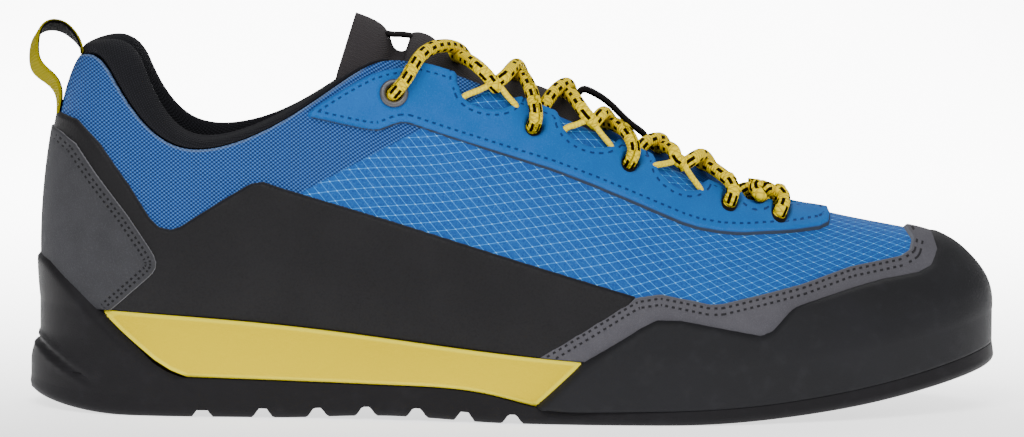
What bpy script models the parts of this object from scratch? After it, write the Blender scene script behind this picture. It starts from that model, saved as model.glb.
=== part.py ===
"""Approach shoe for the right foot, built as the pieces that a maker would put together.

The tables are in millimetres and the scene is in metres. The toe points along +X, the outer side of
the foot faces -Y and the floor is Z = 0.
"""

import math
from collections import namedtuple

import bmesh
import bpy
import numpy as np
from mathutils import Vector

MM = 0.001
OUTER, INNER = -1, 1  # the two sides of the foot, as the sign of Y

# Driving sizes of a shoe of European size 42
SOLE_LENGTH = 300.0
TOE_SPRING = 13.5
SPRING_START = 48.0
HEEL_BEVEL = 4.6
BEVEL_START = -118.0
ARCH_LIFT = 1.2
ARCH_FROM, ARCH_TO = -75.0, 0.0
GAP = 0.3
WALL = 2.0
INSOLE_THICK = 4.0
FILM_THICK = 0.8
OVERLAY_THICK = 1.5
RAND_THICK = 3.0
WRAP_THICK = 2.6
LACE_RADIUS = 2.3
LACE_CLEAR = 1.1
EYELET_RIM = 2.6
CORD_RADIUS = 0.9
LOOP_LEAN = (-0.31, -0.48)  # backwards and down, for each millimetre across the heel loop
LUG_COUNT, LUG_FIRST, LUG_PITCH, LUG_DEPTH = 15, -126.5, 15.7, 3.4
SLOT = 4.0
WAIST_FROM, WAIST_TO = -100.0, 5.0
SPINE_FROM, SPINE_TO = -134.0, 62.0

# One row per section across the last: where its rib leaves the footbed, where it ends on the collar,
# throat or ridge, how it bulges on the way, and how far the midsole and the outsole stand out below it
Section = namedtuple(
    "Section", "foot_x foot_y top_x top_y top_z flare rise reach drop ledge sole")
HEEL_BACK = Section(-144.5, 0.0, -134.6, 0.0, 109.0, 3.5, 28.0, 6.2, 6.0, 0.0, 6.0)
TOE_TIP = Section(147.2, 7.0, 118.0, 2.0, 56.2, 1.8, 11.5, 22.0, 4.0, 0.3, 4.2)
OUTER_SECTIONS = (
    Section(-138.0, -18.5, -129.0, -13.5, 109.3, 3.5, 28.0, 7.0, 11.0, 0.3, 5.0),
    Section(-122.0, -29.5, -121.0, -24.0, 98.0, 3.0, 26.0, 4.0, 18.0, 1.2, 4.0),
    Section(-98.0, -34.0, -98.0, -31.0, 82.8, 3.0, 20.0, 1.5, 18.0, 2.0, 3.2),
    Section(-70.0, -35.5, -71.0, -31.5, 91.2, 2.5, 20.0, 3.0, 18.0, 2.2, 3.0),
    Section(-42.0, -38.5, -47.0, -28.5, 106.8, 2.0, 22.0, 6.0, 20.0, 2.2, 3.0),
    Section(-14.0, -43.5, -27.0, -25.5, 108.3, 1.5, 22.0, 10.0, 18.0, 2.2, 3.0),
    Section(12.0, -47.5, 5.0, -22.0, 96.3, 1.5, 20.0, 14.0, 14.0, 1.6, 3.4),
    Section(38.0, -48.5, 35.0, -17.5, 82.8, 1.5, 17.0, 17.0, 11.0, 0.8, 4.0),
    Section(64.0, -46.5, 62.0, -13.5, 70.0, 1.5, 15.0, 18.0, 8.0, 0.5, 4.2),
    Section(88.0, -40.0, 82.0, -8.5, 63.4, 1.5, 14.0, 17.0, 5.0, 0.5, 4.2),
    Section(108.0, -33.0, 91.0, 0.5, 61.8, 1.5, 13.0, 17.0, 3.0, 0.5, 4.2),
    Section(125.5, -23.5, 102.0, 1.0, 59.8, 1.5, 12.0, 18.0, 3.0, 0.4, 4.0),
    Section(140.5, -11.0, 111.0, 1.5, 57.8, 1.5, 12.0, 19.0, 3.5, 0.3, 3.8),
)
INNER_SECTIONS = (
    Section(-138.0, 18.5, -129.0, 13.5, 109.6, 3.5, 28.0, 7.0, 11.0, 0.3, 5.0),
    Section(-122.0, 29.0, -121.0, 24.0, 98.6, 3.0, 26.0, 4.0, 18.0, 1.2, 4.0),
    Section(-98.0, 32.5, -98.0, 30.0, 83.0, 3.0, 20.0, 1.5, 18.0, 2.0, 3.2),
    Section(-70.0, 31.5, -71.0, 30.0, 88.0, 2.5, 20.0, 3.0, 18.0, 2.2, 3.0),
    Section(-42.0, 29.5, -47.0, 27.5, 104.0, 2.0, 22.0, 6.0, 20.0, 2.2, 3.0),
    Section(-14.0, 31.0, -27.0, 25.5, 105.8, 1.5, 22.0, 8.0, 18.0, 2.2, 3.0),
    Section(12.0, 36.5, 5.0, 22.5, 94.5, 1.5, 20.0, 11.0, 14.0, 1.6, 3.4),
    Section(38.0, 44.0, 35.0, 18.5, 81.0, 1.5, 18.0, 15.0, 11.0, 0.8, 4.0),
    Section(64.0, 48.5, 62.0, 15.0, 68.8, 1.5, 17.0, 18.0, 8.0, 0.5, 4.2),
    Section(88.0, 46.5, 82.0, 9.5, 63.0, 1.5, 16.0, 18.0, 5.0, 0.5, 4.2),
    Section(108.0, 41.0, 91.0, 0.5, 61.8, 1.5, 14.0, 18.0, 3.0, 0.5, 4.2),
    Section(125.5, 34.0, 102.0, 1.0, 59.8, 1.5, 13.0, 18.0, 3.0, 0.4, 4.0),
    Section(140.5, 24.5, 111.0, 1.5, 57.8, 1.5, 12.0, 19.0, 3.5, 0.3, 3.8),
)
LAST_STATION = len(OUTER_SECTIONS) + 1
THROAT_FRONT = 11  # the section whose two sides are the first to meet on the ridge
THROAT_TOP = 6

# Heights along the shoe: where the upper meets the midsole, and the top of the outsole
Height = namedtuple("Height", "x z")
FOOTBED = (
    Height(-148, 32.0), Height(-100, 30.0), Height(-57, 26.4), Height(-20, 22.3), Height(20, 18.9),
    Height(60, 17.5), Height(100, 20.0), Height(125, 24.5), Height(150, 31.0))
OUTSOLE_TOP = (
    Height(-152, 12.5), Height(-101, 12.1), Height(-35, 10.3), Height(10, 6.4), Height(30, 5.0),
    Height(50, 4.6), Height(80, 6.2), Height(110, 10.4), Height(130, 14.6), Height(152, 20.5))


# Side-view lines between the overlays, from the heel towards the toe
Corner = namedtuple("Corner", "x z")
WRAP_EDGE = (
    Corner(-165, 48.0), Corner(-147, 45.6), Corner(-140, 43.3), Corner(-133.3, 38.5), Corner(-128.7, 33.7),
    Corner(-118, 24.0), Corner(-111.5, 19.0), Corner(-104.5, 15.0), Corner(-96, 12.6), Corner(-90, 8.0))
COUNTER_EDGE = (
    Corner(-165, 90.0), Corner(-146, 88.5), Corner(-139, 86.4), Corner(-133.8, 83.1), Corner(-127.2, 74.0),
    Corner(-117.7, 62.0), Corner(-110, 52.1), Corner(-107.8, 48.5), Corner(-109.2, 44.0),
    Corner(-120.8, 33.9), Corner(-124.0, 31.0))
QUARTER_EDGE = (
    Corner(-165, 96.0), Corner(-146, 92.5), Corner(-134.5, 90.3), Corner(-127.2, 83.6), Corner(-117.7, 70.8),
    Corner(-111.6, 61.4), Corner(-108.7, 58.6), Corner(-105.1, 57.8), Corner(-102.3, 58.7),
    Corner(-86.9, 68.5), Corner(-80.5, 72.2), Corner(-76.5, 72.8), Corner(-70.5, 70.8),
    Corner(-34.6, 60.6), Corner(38.1, 39.1))
MUDGUARD_EDGE = (
    Corner(-2, 15.0), Corner(8.5, 21.1), Corner(32.9, 35.9), Corner(38.1, 38.8), Corner(45.6, 39.8),
    Corner(60.8, 36.6), Corner(64.5, 36.6), Corner(89, 41.6), Corner(104.6, 46.1), Corner(120.7, 48.7),
    Corner(123.6, 50.2), Corner(124.5, 53.0), Corner(123, 56.2), Corner(120, 59.0), Corner(116, 68.0))
RAND_EDGE = (
    Corner(4.5, 2.5), Corner(9.3, 7.2), Corner(21.7, 18.9), Corner(39.1, 30.0), Corner(44.3, 32.5),
    Corner(51.8, 32.3), Corner(76.4, 27.4), Corner(79.6, 28.6), Corner(85.6, 35.0), Corner(88.7, 36.2),
    Corner(114.1, 42.3), Corner(126.8, 44.0), Corner(130.2, 45.6), Corner(132.4, 49.4),
    Corner(132.3, 52.8), Corner(129.5, 56.5), Corner(124, 68.0))
EYESTAY_EDGE = (
    Corner(-66, 98.0), Corner(-62, 93.4), Corner(-53.1, 91.9), Corner(-46.8, 90.0), Corner(-41.2, 89.3),
    Corner(-34.8, 91.8), Corner(-31.3, 92.3), Corner(-19.3, 88.6), Corner(11.7, 78.4), Corner(42.3, 66.8),
    Corner(51.9, 62.1), Corner(64.3, 58.0), Corner(72.1, 57.4), Corner(95.5, 57.4), Corner(98.2, 58.6),
    Corner(98.3, 60.9), Corner(94, 68.0))
Scallop = namedtuple("Scallop", "rear_x rear_z front_x front_z depth")
SCALLOPS = (
    Scallop(70.8, 69.2, 79.5, 67.0, 5.0),
    Scallop(44.2, 78.0, 59.6, 72.4, 7.0),
    Scallop(14.7, 91.3, 32.9, 86.5, 7.5),
    Scallop(-16.2, 101.0, 1.1, 98.7, 7.0),
)

# Tongue: one row per section along its middle, from the vamp to the free end
TongueRow = namedtuple("TongueRow", "x z half drop thick")
TONGUE = (
    TongueRow(85, 58.0, 6.0, 0.8, 1.6), TongueRow(74, 62.4, 11.0, 2.5, 2.4),
    TongueRow(60, 69.4, 15.0, 5.5, 3.0), TongueRow(45, 77.6, 18.5, 8.0, 3.4),
    TongueRow(29, 86.8, 20.5, 11.0, 3.8), TongueRow(13, 96.0, 21.0, 12.5, 4.2),
    TongueRow(0, 101.8, 21.0, 13.0, 4.6), TongueRow(-14, 106.4, 20.5, 13.0, 5.0),
    TongueRow(-28, 112.0, 20.3, 13.0, 5.0), TongueRow(-33, 110.9, 20.3, 13.4, 3.6),
    TongueRow(-37, 111.7, 20.2, 14.0, 3.6), TongueRow(-40, 118.0, 20.0, 16.0, 4.8),
    TongueRow(-49, 122.6, 19.0, 19.0, 4.0))

# Padded collar: how far it stands forward and up past the edge, its thickness and where it starts
CollarRow = namedtuple("CollarRow", "station forward up thick start")
COLLAR = (
    CollarRow(0.0, 2.5, 7.5, 8.0, 0.62), CollarRow(1.0, 5.5, 7.2, 7.5, 0.62),
    CollarRow(2.0, 7.0, 8.0, 7.0, 0.62), CollarRow(3.0, 3.0, 4.6, 6.0, 0.62),
    CollarRow(4.0, 0.0, 3.3, 4.5, 0.7), CollarRow(5.0, 0.0, 2.0, 2.4, 0.88),
    CollarRow(5.5, 0.0, 1.6, 2.0, 0.93))

# Lacing: rows of holes and cord loops on the side, and the crossings on the middle line
LaceRow = namedtuple("LaceRow", "x z hole reach")
LACE_ROWS = (
    LaceRow(-36.2, 100.8, True, 0.0), LaceRow(-6.5, 100.2, False, 6.0), LaceRow(6.6, 89.4, True, 0.0),
    LaceRow(24.5, 87.6, False, 6.5), LaceRow(36.3, 78.0, True, 0.0), LaceRow(51.0, 75.6, False, 5.0),
    LaceRow(67.4, 65.5, True, 0.0), LaceRow(75.5, 65.2, False, 0.0), LaceRow(83.1, 61.6, True, 0.0))
CROSSINGS = (
    Corner(-16, 110.9), Corner(1, 105.8), Corner(14, 100.5), Corner(29.6, 90.9), Corner(45.2, 83.2),
    Corner(58, 77.0), Corner(73.5, 67.6), Corner(81.5, 65.6))
HOLE_RADIUS = 2.8

# Webbing paths on the middle line
PULL_LOOP = (
    Corner(-141.4, 92.9), Corner(-141.7, 97.6), Corner(-143.1, 100.2), Corner(-146.2, 102.9),
    Corner(-148.5, 105.5), Corner(-149.2, 108.6), Corner(-149.0, 112.4), Corner(-147.8, 115.8),
    Corner(-145.3, 117.8), Corner(-142.8, 118.1), Corner(-140.1, 117.4), Corner(-137.4, 115.4),
    Corner(-135.2, 112.6), Corner(-134.0, 109.6))
KEEPER_MID = (
    Corner(19.6, 94.4), Corner(20.2, 97.6), Corner(22.4, 99.5), Corner(25.5, 99.0), Corner(29, 97.0),
    Corner(33.7, 93.3), Corner(38, 88.9), Corner(40.2, 85.6), Corner(40.3, 83.8))
KEEPER_TOP = (
    Corner(-38.0, 115.6), Corner(-34.6, 115.8), Corner(-30.6, 114.9))


def spline(knots, values, period=None):
    """Cubic spline through the rows of values at the knots, closed when a period is given."""
    knots = np.asarray(knots, float)
    values = np.asarray(values, float)
    count = len(knots)
    steps = np.diff(np.append(knots, knots[0] + period)) if period else np.diff(knots)
    system = np.zeros((count, count))
    right = np.zeros_like(values)
    for i in range(count):
        if not period and i in (0, count - 1):
            system[i, i] = 1.0
            continue
        after = (i + 1) % count
        system[i, i - 1] += steps[i - 1]
        system[i, i] += 2.0 * (steps[i - 1] + steps[i])
        system[i, after] += steps[i]
        rise_after = (values[after] - values[i]) / steps[i]
        rise_before = (values[i] - values[i - 1]) / steps[i - 1]
        right[i] = 6.0 * (rise_after - rise_before)
    bend = np.linalg.solve(system, right)

    def at(where):
        where = np.asarray(where, float)
        if period:
            where = knots[0] + (where - knots[0]) % period
        i = np.clip(np.searchsorted(knots, where, side="right") - 1, 0, len(steps) - 1)
        after = (i + 1) % count
        b = (where - knots[i]) / steps[i]
        a = 1.0 - b
        square = steps[i] ** 2 / 6.0
        if values.ndim > 1:
            a, b, square = a[..., None], b[..., None], square[..., None]
        curve = ((a ** 3 - a) * bend[i] + (b ** 3 - b) * bend[after]) * square
        return a * values[i] + b * values[after] + curve

    return at


LOOP = (HEEL_BACK, *OUTER_SECTIONS, TOE_TIP, *reversed(INNER_SECTIONS))
LOOP_FEET = np.array([(row.foot_x, row.foot_y) for row in LOOP])
LOOP_CHORDS = np.linalg.norm(np.roll(LOOP_FEET, -1, axis=0) - LOOP_FEET, axis=1)
LOOP_KNOTS = np.concatenate([[0.0], np.cumsum(LOOP_CHORDS)])
section_at = spline(LOOP_KNOTS[:-1], np.array(LOOP), LOOP_KNOTS[-1])
footbed = spline([row.x for row in FOOTBED], [row.z for row in FOOTBED])
outsole_top = spline([row.x for row in OUTSOLE_TOP], [row.z for row in OUTSOLE_TOP])


def tread(x):
    """Height of the underside: flat, with toe spring, a heel bevel and a slight arch."""
    half = SOLE_LENGTH / 2
    spring = np.clip((x - SPRING_START) / (half - SPRING_START), 0, None)
    bevel = np.clip((BEVEL_START - x) / (BEVEL_START + half), 0, None)
    arch = np.sin(math.pi * np.clip((x - ARCH_FROM) / (ARCH_TO - ARCH_FROM), 0, 1))
    return TOE_SPRING * spring ** 2 + HEEL_BEVEL * bevel ** 2 + ARCH_LIFT * arch ** 2


def loop_parameter(side, station):
    """Place on the closed section loop of a station, counted from the heel, on one side."""
    index = np.arange(LAST_STATION + 1)
    if side == OUTER:
        return np.interp(station, index, LOOP_KNOTS[:LAST_STATION + 1])
    return np.interp(station, index, LOOP_KNOTS[LAST_STATION:][::-1])


Rib = namedtuple("Rib", "foot lower upper top outward ledge sole")


def rib(side, station):
    """The Bezier rib of the upper at a station, with its outward direction in plan."""
    place = loop_parameter(side, station)
    row = section_at(place)
    ahead, behind = section_at(place + 0.5), section_at(place - 0.5)
    run = (ahead - behind)[..., :2]
    run = run / np.linalg.norm(run, axis=-1, keepdims=True)
    outward = np.stack([run[..., 1], -run[..., 0], np.zeros_like(run[..., 0])], axis=-1)
    foot_x, foot_y, top_x, top_y, top_z, flare, rise, reach, drop, ledge, sole = np.moveaxis(row, -1, 0)
    top = np.stack([top_x, top_y, top_z], axis=-1)
    other = section_at(loop_parameter(-side, station))[..., 2:5]
    on_ridge = (np.asarray(station) >= THROAT_FRONT - 1e-6)[..., None]
    top = np.where(on_ridge, (top + other) / 2, top)
    up = np.array([0.0, 0.0, 1.0])
    foot = np.stack([foot_x, foot_y, footbed(foot_x)], axis=-1)
    lower = foot + outward * flare[..., None] + up * rise[..., None]
    upper = top + outward * reach[..., None] - up * drop[..., None]
    return Rib(foot, lower, upper, top, outward, ledge, sole)


def body(side, station, height):
    """Point on the outside of the upper; height runs from 0 at the footbed to 1 at the top edge."""
    r = rib(side, station)
    b = np.asarray(height, float)[..., None]
    a = 1.0 - b
    return a ** 3 * r.foot + 3 * a * a * b * r.lower + 3 * a * b * b * r.upper + b ** 3 * r.top


def body_normal(side, station, height):
    """Outward normal of the upper."""
    h = 0.01
    low, high = np.clip(height - h, 0, 1), np.clip(height + h, 0, 1)
    along = side * (body(side, station - h, height) - body(side, station + h, height))
    across = body(side, station, high) - body(side, station, low)
    normal = np.cross(along, across)
    return normal / np.linalg.norm(normal, axis=-1, keepdims=True)


def lifted(side, station, height, offset):
    """Point at a distance outside the upper."""
    return body(side, station, height) + body_normal(side, station, height) * offset


STATIONS = np.concatenate([
    np.arange(0.0, THROAT_TOP + 0.5, 0.5), np.arange(THROAT_TOP + 1.0, THROAT_TOP + 2.0),
    np.arange(THROAT_TOP + 2.0, LAST_STATION + 0.5, 0.5)])
COLUMNS = [(OUTER, s) for s in STATIONS] + [(INNER, s) for s in STATIONS[-2:0:-1]]


def locate(side, x, z):
    """Station and height of the point of the upper seen from the side at x and z."""
    stations = np.linspace(0.5, LAST_STATION - 1.0, 120)
    heights = np.linspace(0.0, 1.0, 80)
    s, h = np.meshgrid(stations, heights, indexing="ij")
    points = body(side, s, h)
    miss = np.hypot(points[..., 0] - x, points[..., 2] - z)
    best = np.unravel_index(np.argmin(miss), miss.shape)
    return s[best], h[best]


# Objects and meshes
def clear_scene():
    for item in list(bpy.data.objects):
        bpy.data.objects.remove(item, do_unlink=True)


def make_collection(name, hidden=False):
    group = bpy.data.collections.new(name)
    bpy.context.scene.collection.children.link(group)
    group.hide_render = hidden
    return group


Finish = namedtuple("Finish", "red green blue rough")
BLACK_RUBBER = Finish(0.022, 0.022, 0.024, 0.75)
YELLOW_FOAM = Finish(0.75, 0.6, 0.1, 0.7)
BLUE_FABRIC = Finish(0.05, 0.18, 0.42, 0.8)
BLACK_FABRIC = Finish(0.02, 0.02, 0.022, 0.85)
GREY_SUEDE = Finish(0.08, 0.08, 0.09, 0.85)
YELLOW_CORD = Finish(0.7, 0.62, 0.13, 0.8)
GREY_METAL = Finish(0.3, 0.3, 0.31, 0.45)


def paint(item, finish):
    material = bpy.data.materials.new(item.name)
    material.use_nodes = True
    shader = material.node_tree.nodes["Principled BSDF"]
    shader.inputs["Base Color"].default_value = (finish.red, finish.green, finish.blue, 1.0)
    shader.inputs["Roughness"].default_value = finish.rough
    item.data.materials.append(material)


def to_object(name, bm, group, finish=None):
    bmesh.ops.recalc_face_normals(bm, faces=bm.faces)
    mesh = bpy.data.meshes.new(name)
    bm.to_mesh(mesh)
    bm.free()
    item = bpy.data.objects.new(name, mesh)
    group.objects.link(item)
    if finish:
        paint(item, finish)
    else:
        item.hide_render = True
        item.display_type = "WIRE"
    return item


def add_boolean(item, operation, other):
    step = item.modifiers.new(operation.title(), "BOOLEAN")
    step.operation = operation
    step.solver = "EXACT"
    if isinstance(other, bpy.types.Collection):
        step.operand_type = "COLLECTION"
        step.collection = other
    else:
        step.object = other


def add_solidify(item, thickness, direction):
    step = item.modifiers.new("Thickness", "SOLIDIFY")
    step.thickness = thickness * MM
    step.offset = direction
    step.use_quality_normals = True


def loft(rings, closed=False):
    """Skin closed rings of points in order; coincident points at the ends are merged."""
    bm = bmesh.new()
    loops = [[bm.verts.new(Vector(p) * MM) for p in ring] for ring in rings]
    pairs = list(zip(loops, loops[1:]))
    if closed:
        pairs.append((loops[-1], loops[0]))
    for first, second in pairs:
        for i, corner in enumerate(first):
            bm.faces.new((first[i - 1], corner, second[i], second[i - 1]))
    bmesh.ops.remove_doubles(bm, verts=bm.verts, dist=1e-6)
    bmesh.ops.dissolve_degenerate(bm, edges=bm.edges, dist=1e-7)
    open_edges = [edge for edge in bm.edges if edge.is_boundary]
    if open_edges:
        bmesh.ops.holes_fill(bm, edges=open_edges, sides=0)
    return bm


def skin(points):
    """Open surface over a grid of points whose first index runs around the shoe."""
    count, rows = points.shape[:2]
    bm = bmesh.new()
    bmesh.ops.create_grid(bm, x_segments=count, y_segments=rows - 1, size=0.5)
    for vert in bm.verts:
        column = round((vert.co.x + 0.5) * count) % count
        row = round((vert.co.y + 0.5) * (rows - 1))
        vert.co = Vector(points[column, row]) * MM
    bmesh.ops.remove_doubles(bm, verts=bm.verts, dist=1e-6)
    bmesh.ops.recalc_face_normals(bm, faces=bm.faces)
    bmesh.ops.triangulate(bm, faces=bm.faces, quad_method="FIXED")
    bm.normal_update()
    return bm


def shell(name, points, offset, thickness, group, finish=None, direction=1.0):
    """Solid skin whose first face is offset from a surface; it grows outward, or inward for -1."""
    bm = skin(points)
    for vert in bm.verts:
        vert.co += vert.normal * offset * MM
    item = to_object(name, bm, group, finish)
    add_solidify(item, thickness, direction)
    return item


def prism(name, outline, group, y_from=-90.0, y_to=90.0):
    """Solid with a side-view outline of (x, z), drawn along Y."""
    bm = bmesh.new()
    verts = [bm.verts.new((x * MM, y_from * MM, z * MM)) for x, z in outline]
    grown = bmesh.ops.extrude_face_region(bm, geom=[bm.faces.new(verts)])["geom"]
    moved = [part for part in grown if isinstance(part, bmesh.types.BMVert)]
    bmesh.ops.translate(bm, verts=moved, vec=(0, (y_to - y_from) * MM, 0))
    return to_object(name, bm, group)


def box_cutter(name, low, high, group):
    bm = bmesh.new()
    bmesh.ops.create_cube(bm, size=1.0)
    centre = (np.array(low) + np.array(high)) / 2 * MM
    size = (np.array(high) - np.array(low)) * MM
    for vert in bm.verts:
        vert.co = Vector(centre + np.array(vert.co) * size)
    return to_object(name, bm, group)


def shifted(line, distance):
    """Copy of a line moved to its left by a distance."""
    points = np.array(line, float)
    run = np.gradient(points, axis=0)
    run /= np.linalg.norm(run, axis=1, keepdims=True)
    return [Corner(*p) for p in points + np.stack([-run[:, 1], run[:, 0]], axis=1) * distance]


def scallop_line(row):
    """Rounded notch in the eyestay, from its toe end to its heel end."""
    turn = np.linspace(0.0, math.pi, 6)
    along = 0.5 - 0.5 * np.cos(turn)
    x = row.front_x + (row.rear_x - row.front_x) * along
    z = row.front_z + (row.rear_z - row.front_z) * along - row.depth * np.sin(turn)
    rear_top = Corner(row.rear_x - 1.0, 130.0)
    return [Corner(row.front_x + 1.0, 130.0), *map(Corner, x, z), rear_top]


# Grids that the pieces are cut from
HEIGHTS = np.linspace(0.0, 1.0, 7)
BODY_GRID = np.array([[body(side, s, h) for h in HEIGHTS] for side, s in COLUMNS])


def band_grid(lift):
    """Outside of the midsole and of the upper together, for rubber that climbs from one to the other."""
    grid = []
    for side, s in COLUMNS:
        r = rib(side, s)
        edge = r.foot + r.outward * r.ledge
        low, high = edge.copy(), edge.copy()
        low[2] = outsole_top(edge[0] + r.outward[0] * (RAND_THICK + GAP)) + lift
        high[2] = footbed(edge[0]) - GAP
        grid.append([low, high, *(body(side, s, h) for h in HEIGHTS[1:6])])
    return np.array(grid)


def lace_lift(row):
    """Height of the lace's middle above the upper at a row."""
    overlay = OVERLAY_THICK + GAP if row.hole else 0.0
    return overlay + GAP + LACE_RADIUS + 0.2


def side_point(side, row, lift):
    return lifted(side, *locate(side, row.x, row.z), lift)


def throat_point(side, x, lift):
    """Point above the throat edge at x."""
    stations = np.linspace(THROAT_TOP - 1.0, THROAT_FRONT - 0.1, 200)
    edge = rib(side, stations).top
    nearest = np.argmin(np.abs(edge[:, 0] - x))
    over = body_normal(side, stations[nearest], np.array(0.985)) + np.array([0.0, 0.0, 1.0])
    return edge[nearest] + over / np.linalg.norm(over) * lift


def tube(name, points, radius, group, smooth=5):
    """Round cord through points, as a closed mesh."""
    points = np.array(points)
    knots = np.concatenate([[0.0], np.cumsum(np.linalg.norm(np.diff(points, axis=0), axis=1))])
    path = spline(knots, points)(np.linspace(0.0, knots[-1], smooth))
    curve = bpy.data.curves.new(name, "CURVE")
    curve.dimensions = "3D"
    line = curve.splines.new("POLY")
    line.points.add(len(path) - 1)
    for place, p in zip(line.points, path):
        place.co = (*(p * MM), 1.0)
    curve.bevel_depth = radius * MM
    curve.bevel_resolution = 2
    curve.use_fill_caps = True
    drawn = bpy.data.objects.new(name + "_path", curve)
    group.objects.link(drawn)
    ready = drawn.evaluated_get(bpy.context.evaluated_depsgraph_get())
    mesh = bpy.data.meshes.new_from_object(ready)
    bpy.data.objects.remove(drawn, do_unlink=True)
    bm = bmesh.new()
    bm.from_mesh(mesh)
    bpy.data.meshes.remove(mesh)
    bmesh.ops.remove_doubles(bm, verts=bm.verts, dist=1e-6)
    return bm


def ribbon(name, path, width, thickness, group, finish, samples, lean=(0.0, 0.0)):
    """Flat webbing across Y whose middle follows a side-view path; it leans between its two ends."""
    points = np.array(path, float)
    knots = np.concatenate([[0.0], np.cumsum(np.linalg.norm(np.diff(points, axis=0), axis=1))])
    line = spline(knots, points)(np.linspace(0.0, knots[-1], samples))
    run = np.gradient(line, axis=0)
    run /= np.linalg.norm(run, axis=1, keepdims=True)
    tips = np.sin(np.linspace(0.0, math.pi, samples)).clip(0)[:, None] ** 0.7 * np.array(lean) * width / 2
    rings = []
    for (x, z), (dx, dz), (tip_x, tip_z) in zip(line, run, tips):
        half = thickness / 2
        above, below = (x - dz * half, z + dx * half), (x + dz * half, z - dx * half)
        rings.append([
            (above[0] - tip_x, -width / 2, above[1] - tip_z), (above[0] + tip_x, width / 2, above[1] + tip_z),
            (below[0] + tip_x, width / 2, below[1] + tip_z), (below[0] - tip_x, -width / 2, below[1] - tip_z)])
    return to_object(name, loft(rings), group, finish)


def peg(name, side, row, radius, low, high, group):
    """Round cutter through the upper at a lace row."""
    station, height = locate(side, row.x, row.z)
    axis = Vector(body_normal(side, station, height))
    centre = Vector(body(side, station, height)) + axis * (low + high) / 2
    bm = bmesh.new()
    bmesh.ops.create_cone(
        bm, cap_ends=True, segments=8, radius1=radius * MM, radius2=radius * MM, depth=(high - low) * MM)
    turn = Vector((0, 0, 1)).rotation_difference(axis).to_matrix()
    bmesh.ops.rotate(bm, verts=bm.verts, matrix=turn, cent=(0, 0, 0))
    bmesh.ops.translate(bm, verts=bm.verts, vec=centre * MM)
    return to_object(name, bm, group)


def build_holes(cutters):
    holes = bpy.data.collections.new("lace_holes")
    cutters.children.link(holes)
    for side, label in ((OUTER, "outer"), (INNER, "inner")):
        for index, row in enumerate(LACE_ROWS):
            if row.hole:
                peg(f"hole_{label}_{index}", side, row, HOLE_RADIUS, -8.0, 8.0, holes)
    return holes


def build_upper(group, holes):
    upper = shell("upper", BODY_GRID, 0.0, WALL, group, BLUE_FABRIC, direction=-1.0)
    add_boolean(upper, "DIFFERENCE", holes)


def build_overlay(name, outline, thickness, group, cutters, finish, grid=BODY_GRID):
    """Piece of a band around the upper, cut out by a side-view outline."""
    overlay = shell(name, grid, GAP, thickness, group, finish)
    add_boolean(overlay, "INTERSECT", prism(name + "_outline", outline, cutters))
    return overlay


def build_overlays(group, cutters, holes):
    half_gap = GAP / 2 + 0.05
    toe_side = [Corner(170, 68), Corner(170, -2), Corner(4.5, -2)]
    rand = shifted(RAND_EDGE, -half_gap) + toe_side
    build_overlay("toe_rand", rand, RAND_THICK, group, cutters, BLACK_RUBBER, band_grid(GAP))
    mudguard = shifted(MUDGUARD_EDGE, -half_gap) + shifted(RAND_EDGE, half_gap)[::-1]
    build_overlay("mudguard", mudguard, OVERLAY_THICK, group, cutters, GREY_SUEDE)
    counter = shifted(COUNTER_EDGE, -half_gap) + shifted(WRAP_EDGE[:5], half_gap)[::-1]
    build_overlay("heel_counter", counter, OVERLAY_THICK, group, cutters, GREY_SUEDE)
    front = shifted(MUDGUARD_EDGE[:4], half_gap)[::-1]
    quarter = list(QUARTER_EDGE) + front + shifted(COUNTER_EDGE, half_gap)[::-1]
    build_overlay("quarter_overlay", quarter, FILM_THICK, group, cutters, BLACK_FABRIC)
    throat = [corner for row in SCALLOPS for corner in scallop_line(row)]
    eyestay = list(EYESTAY_EDGE) + [Corner(94, 130)] + throat + [Corner(-66, 130)]
    piece = build_overlay("eyestay", eyestay, OVERLAY_THICK, group, cutters, BLUE_FABRIC)
    add_boolean(piece, "DIFFERENCE", holes)


def outline_point(side, station, offset, z_of):
    """Point beside the foot line of a station, at a height that follows its x."""
    r = rib(side, station)
    point = r.foot + r.outward * offset
    point[2] = z_of(point[0])
    return point


def build_midsole(group):
    rings = []
    for s in STATIONS:
        ring = []
        for side in (OUTER, INNER):
            ledge = float(rib(side, s).ledge)
            low = outline_point(side, s, ledge, lambda x: outsole_top(x) + GAP)
            high = outline_point(side, s, ledge, lambda x: footbed(x) - GAP)
            ring += [low, high] if side == OUTER else [high, low]
        rings.append(ring)
    to_object("midsole", loft(rings), group, YELLOW_FOAM)


def build_insole(group):
    inset = -(WALL + 3 * GAP)
    rings = []
    for s in STATIONS:
        ring = []
        for side in (OUTER, INNER):
            low = outline_point(side, s, inset, footbed)
            high = outline_point(side, s, inset, lambda x: footbed(x) + INSOLE_THICK)
            ring += [low, high] if side == OUTER else [high, low]
        rings.append(ring)
    to_object("insole", loft(rings), group, BLACK_FABRIC)


def build_tread_slots(cutters):
    """Grooves between the lugs: across the waist, inside the rim under heel and forefoot, and along."""
    slots = bpy.data.collections.new("tread_slots")
    cutters.children.link(slots)
    for index in range(LUG_COUNT):
        x = LUG_FIRST + index * LUG_PITCH
        through = WAIST_FROM < x < WAIST_TO
        half = 80.0 if through else (22.0 if x < WAIST_FROM else 34.0)
        top = float(tread(np.array(x))) + LUG_DEPTH
        low, high = (x - SLOT / 2, -half, -5.0), (x + SLOT / 2, half, top)
        box_cutter(f"slot_{index}", low, high, slots)
    low, high = (SPINE_FROM, -SLOT, -5.0), (SPINE_TO, SLOT, LUG_DEPTH - 0.4)
    box_cutter("spine", low, high, slots)
    return slots


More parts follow.
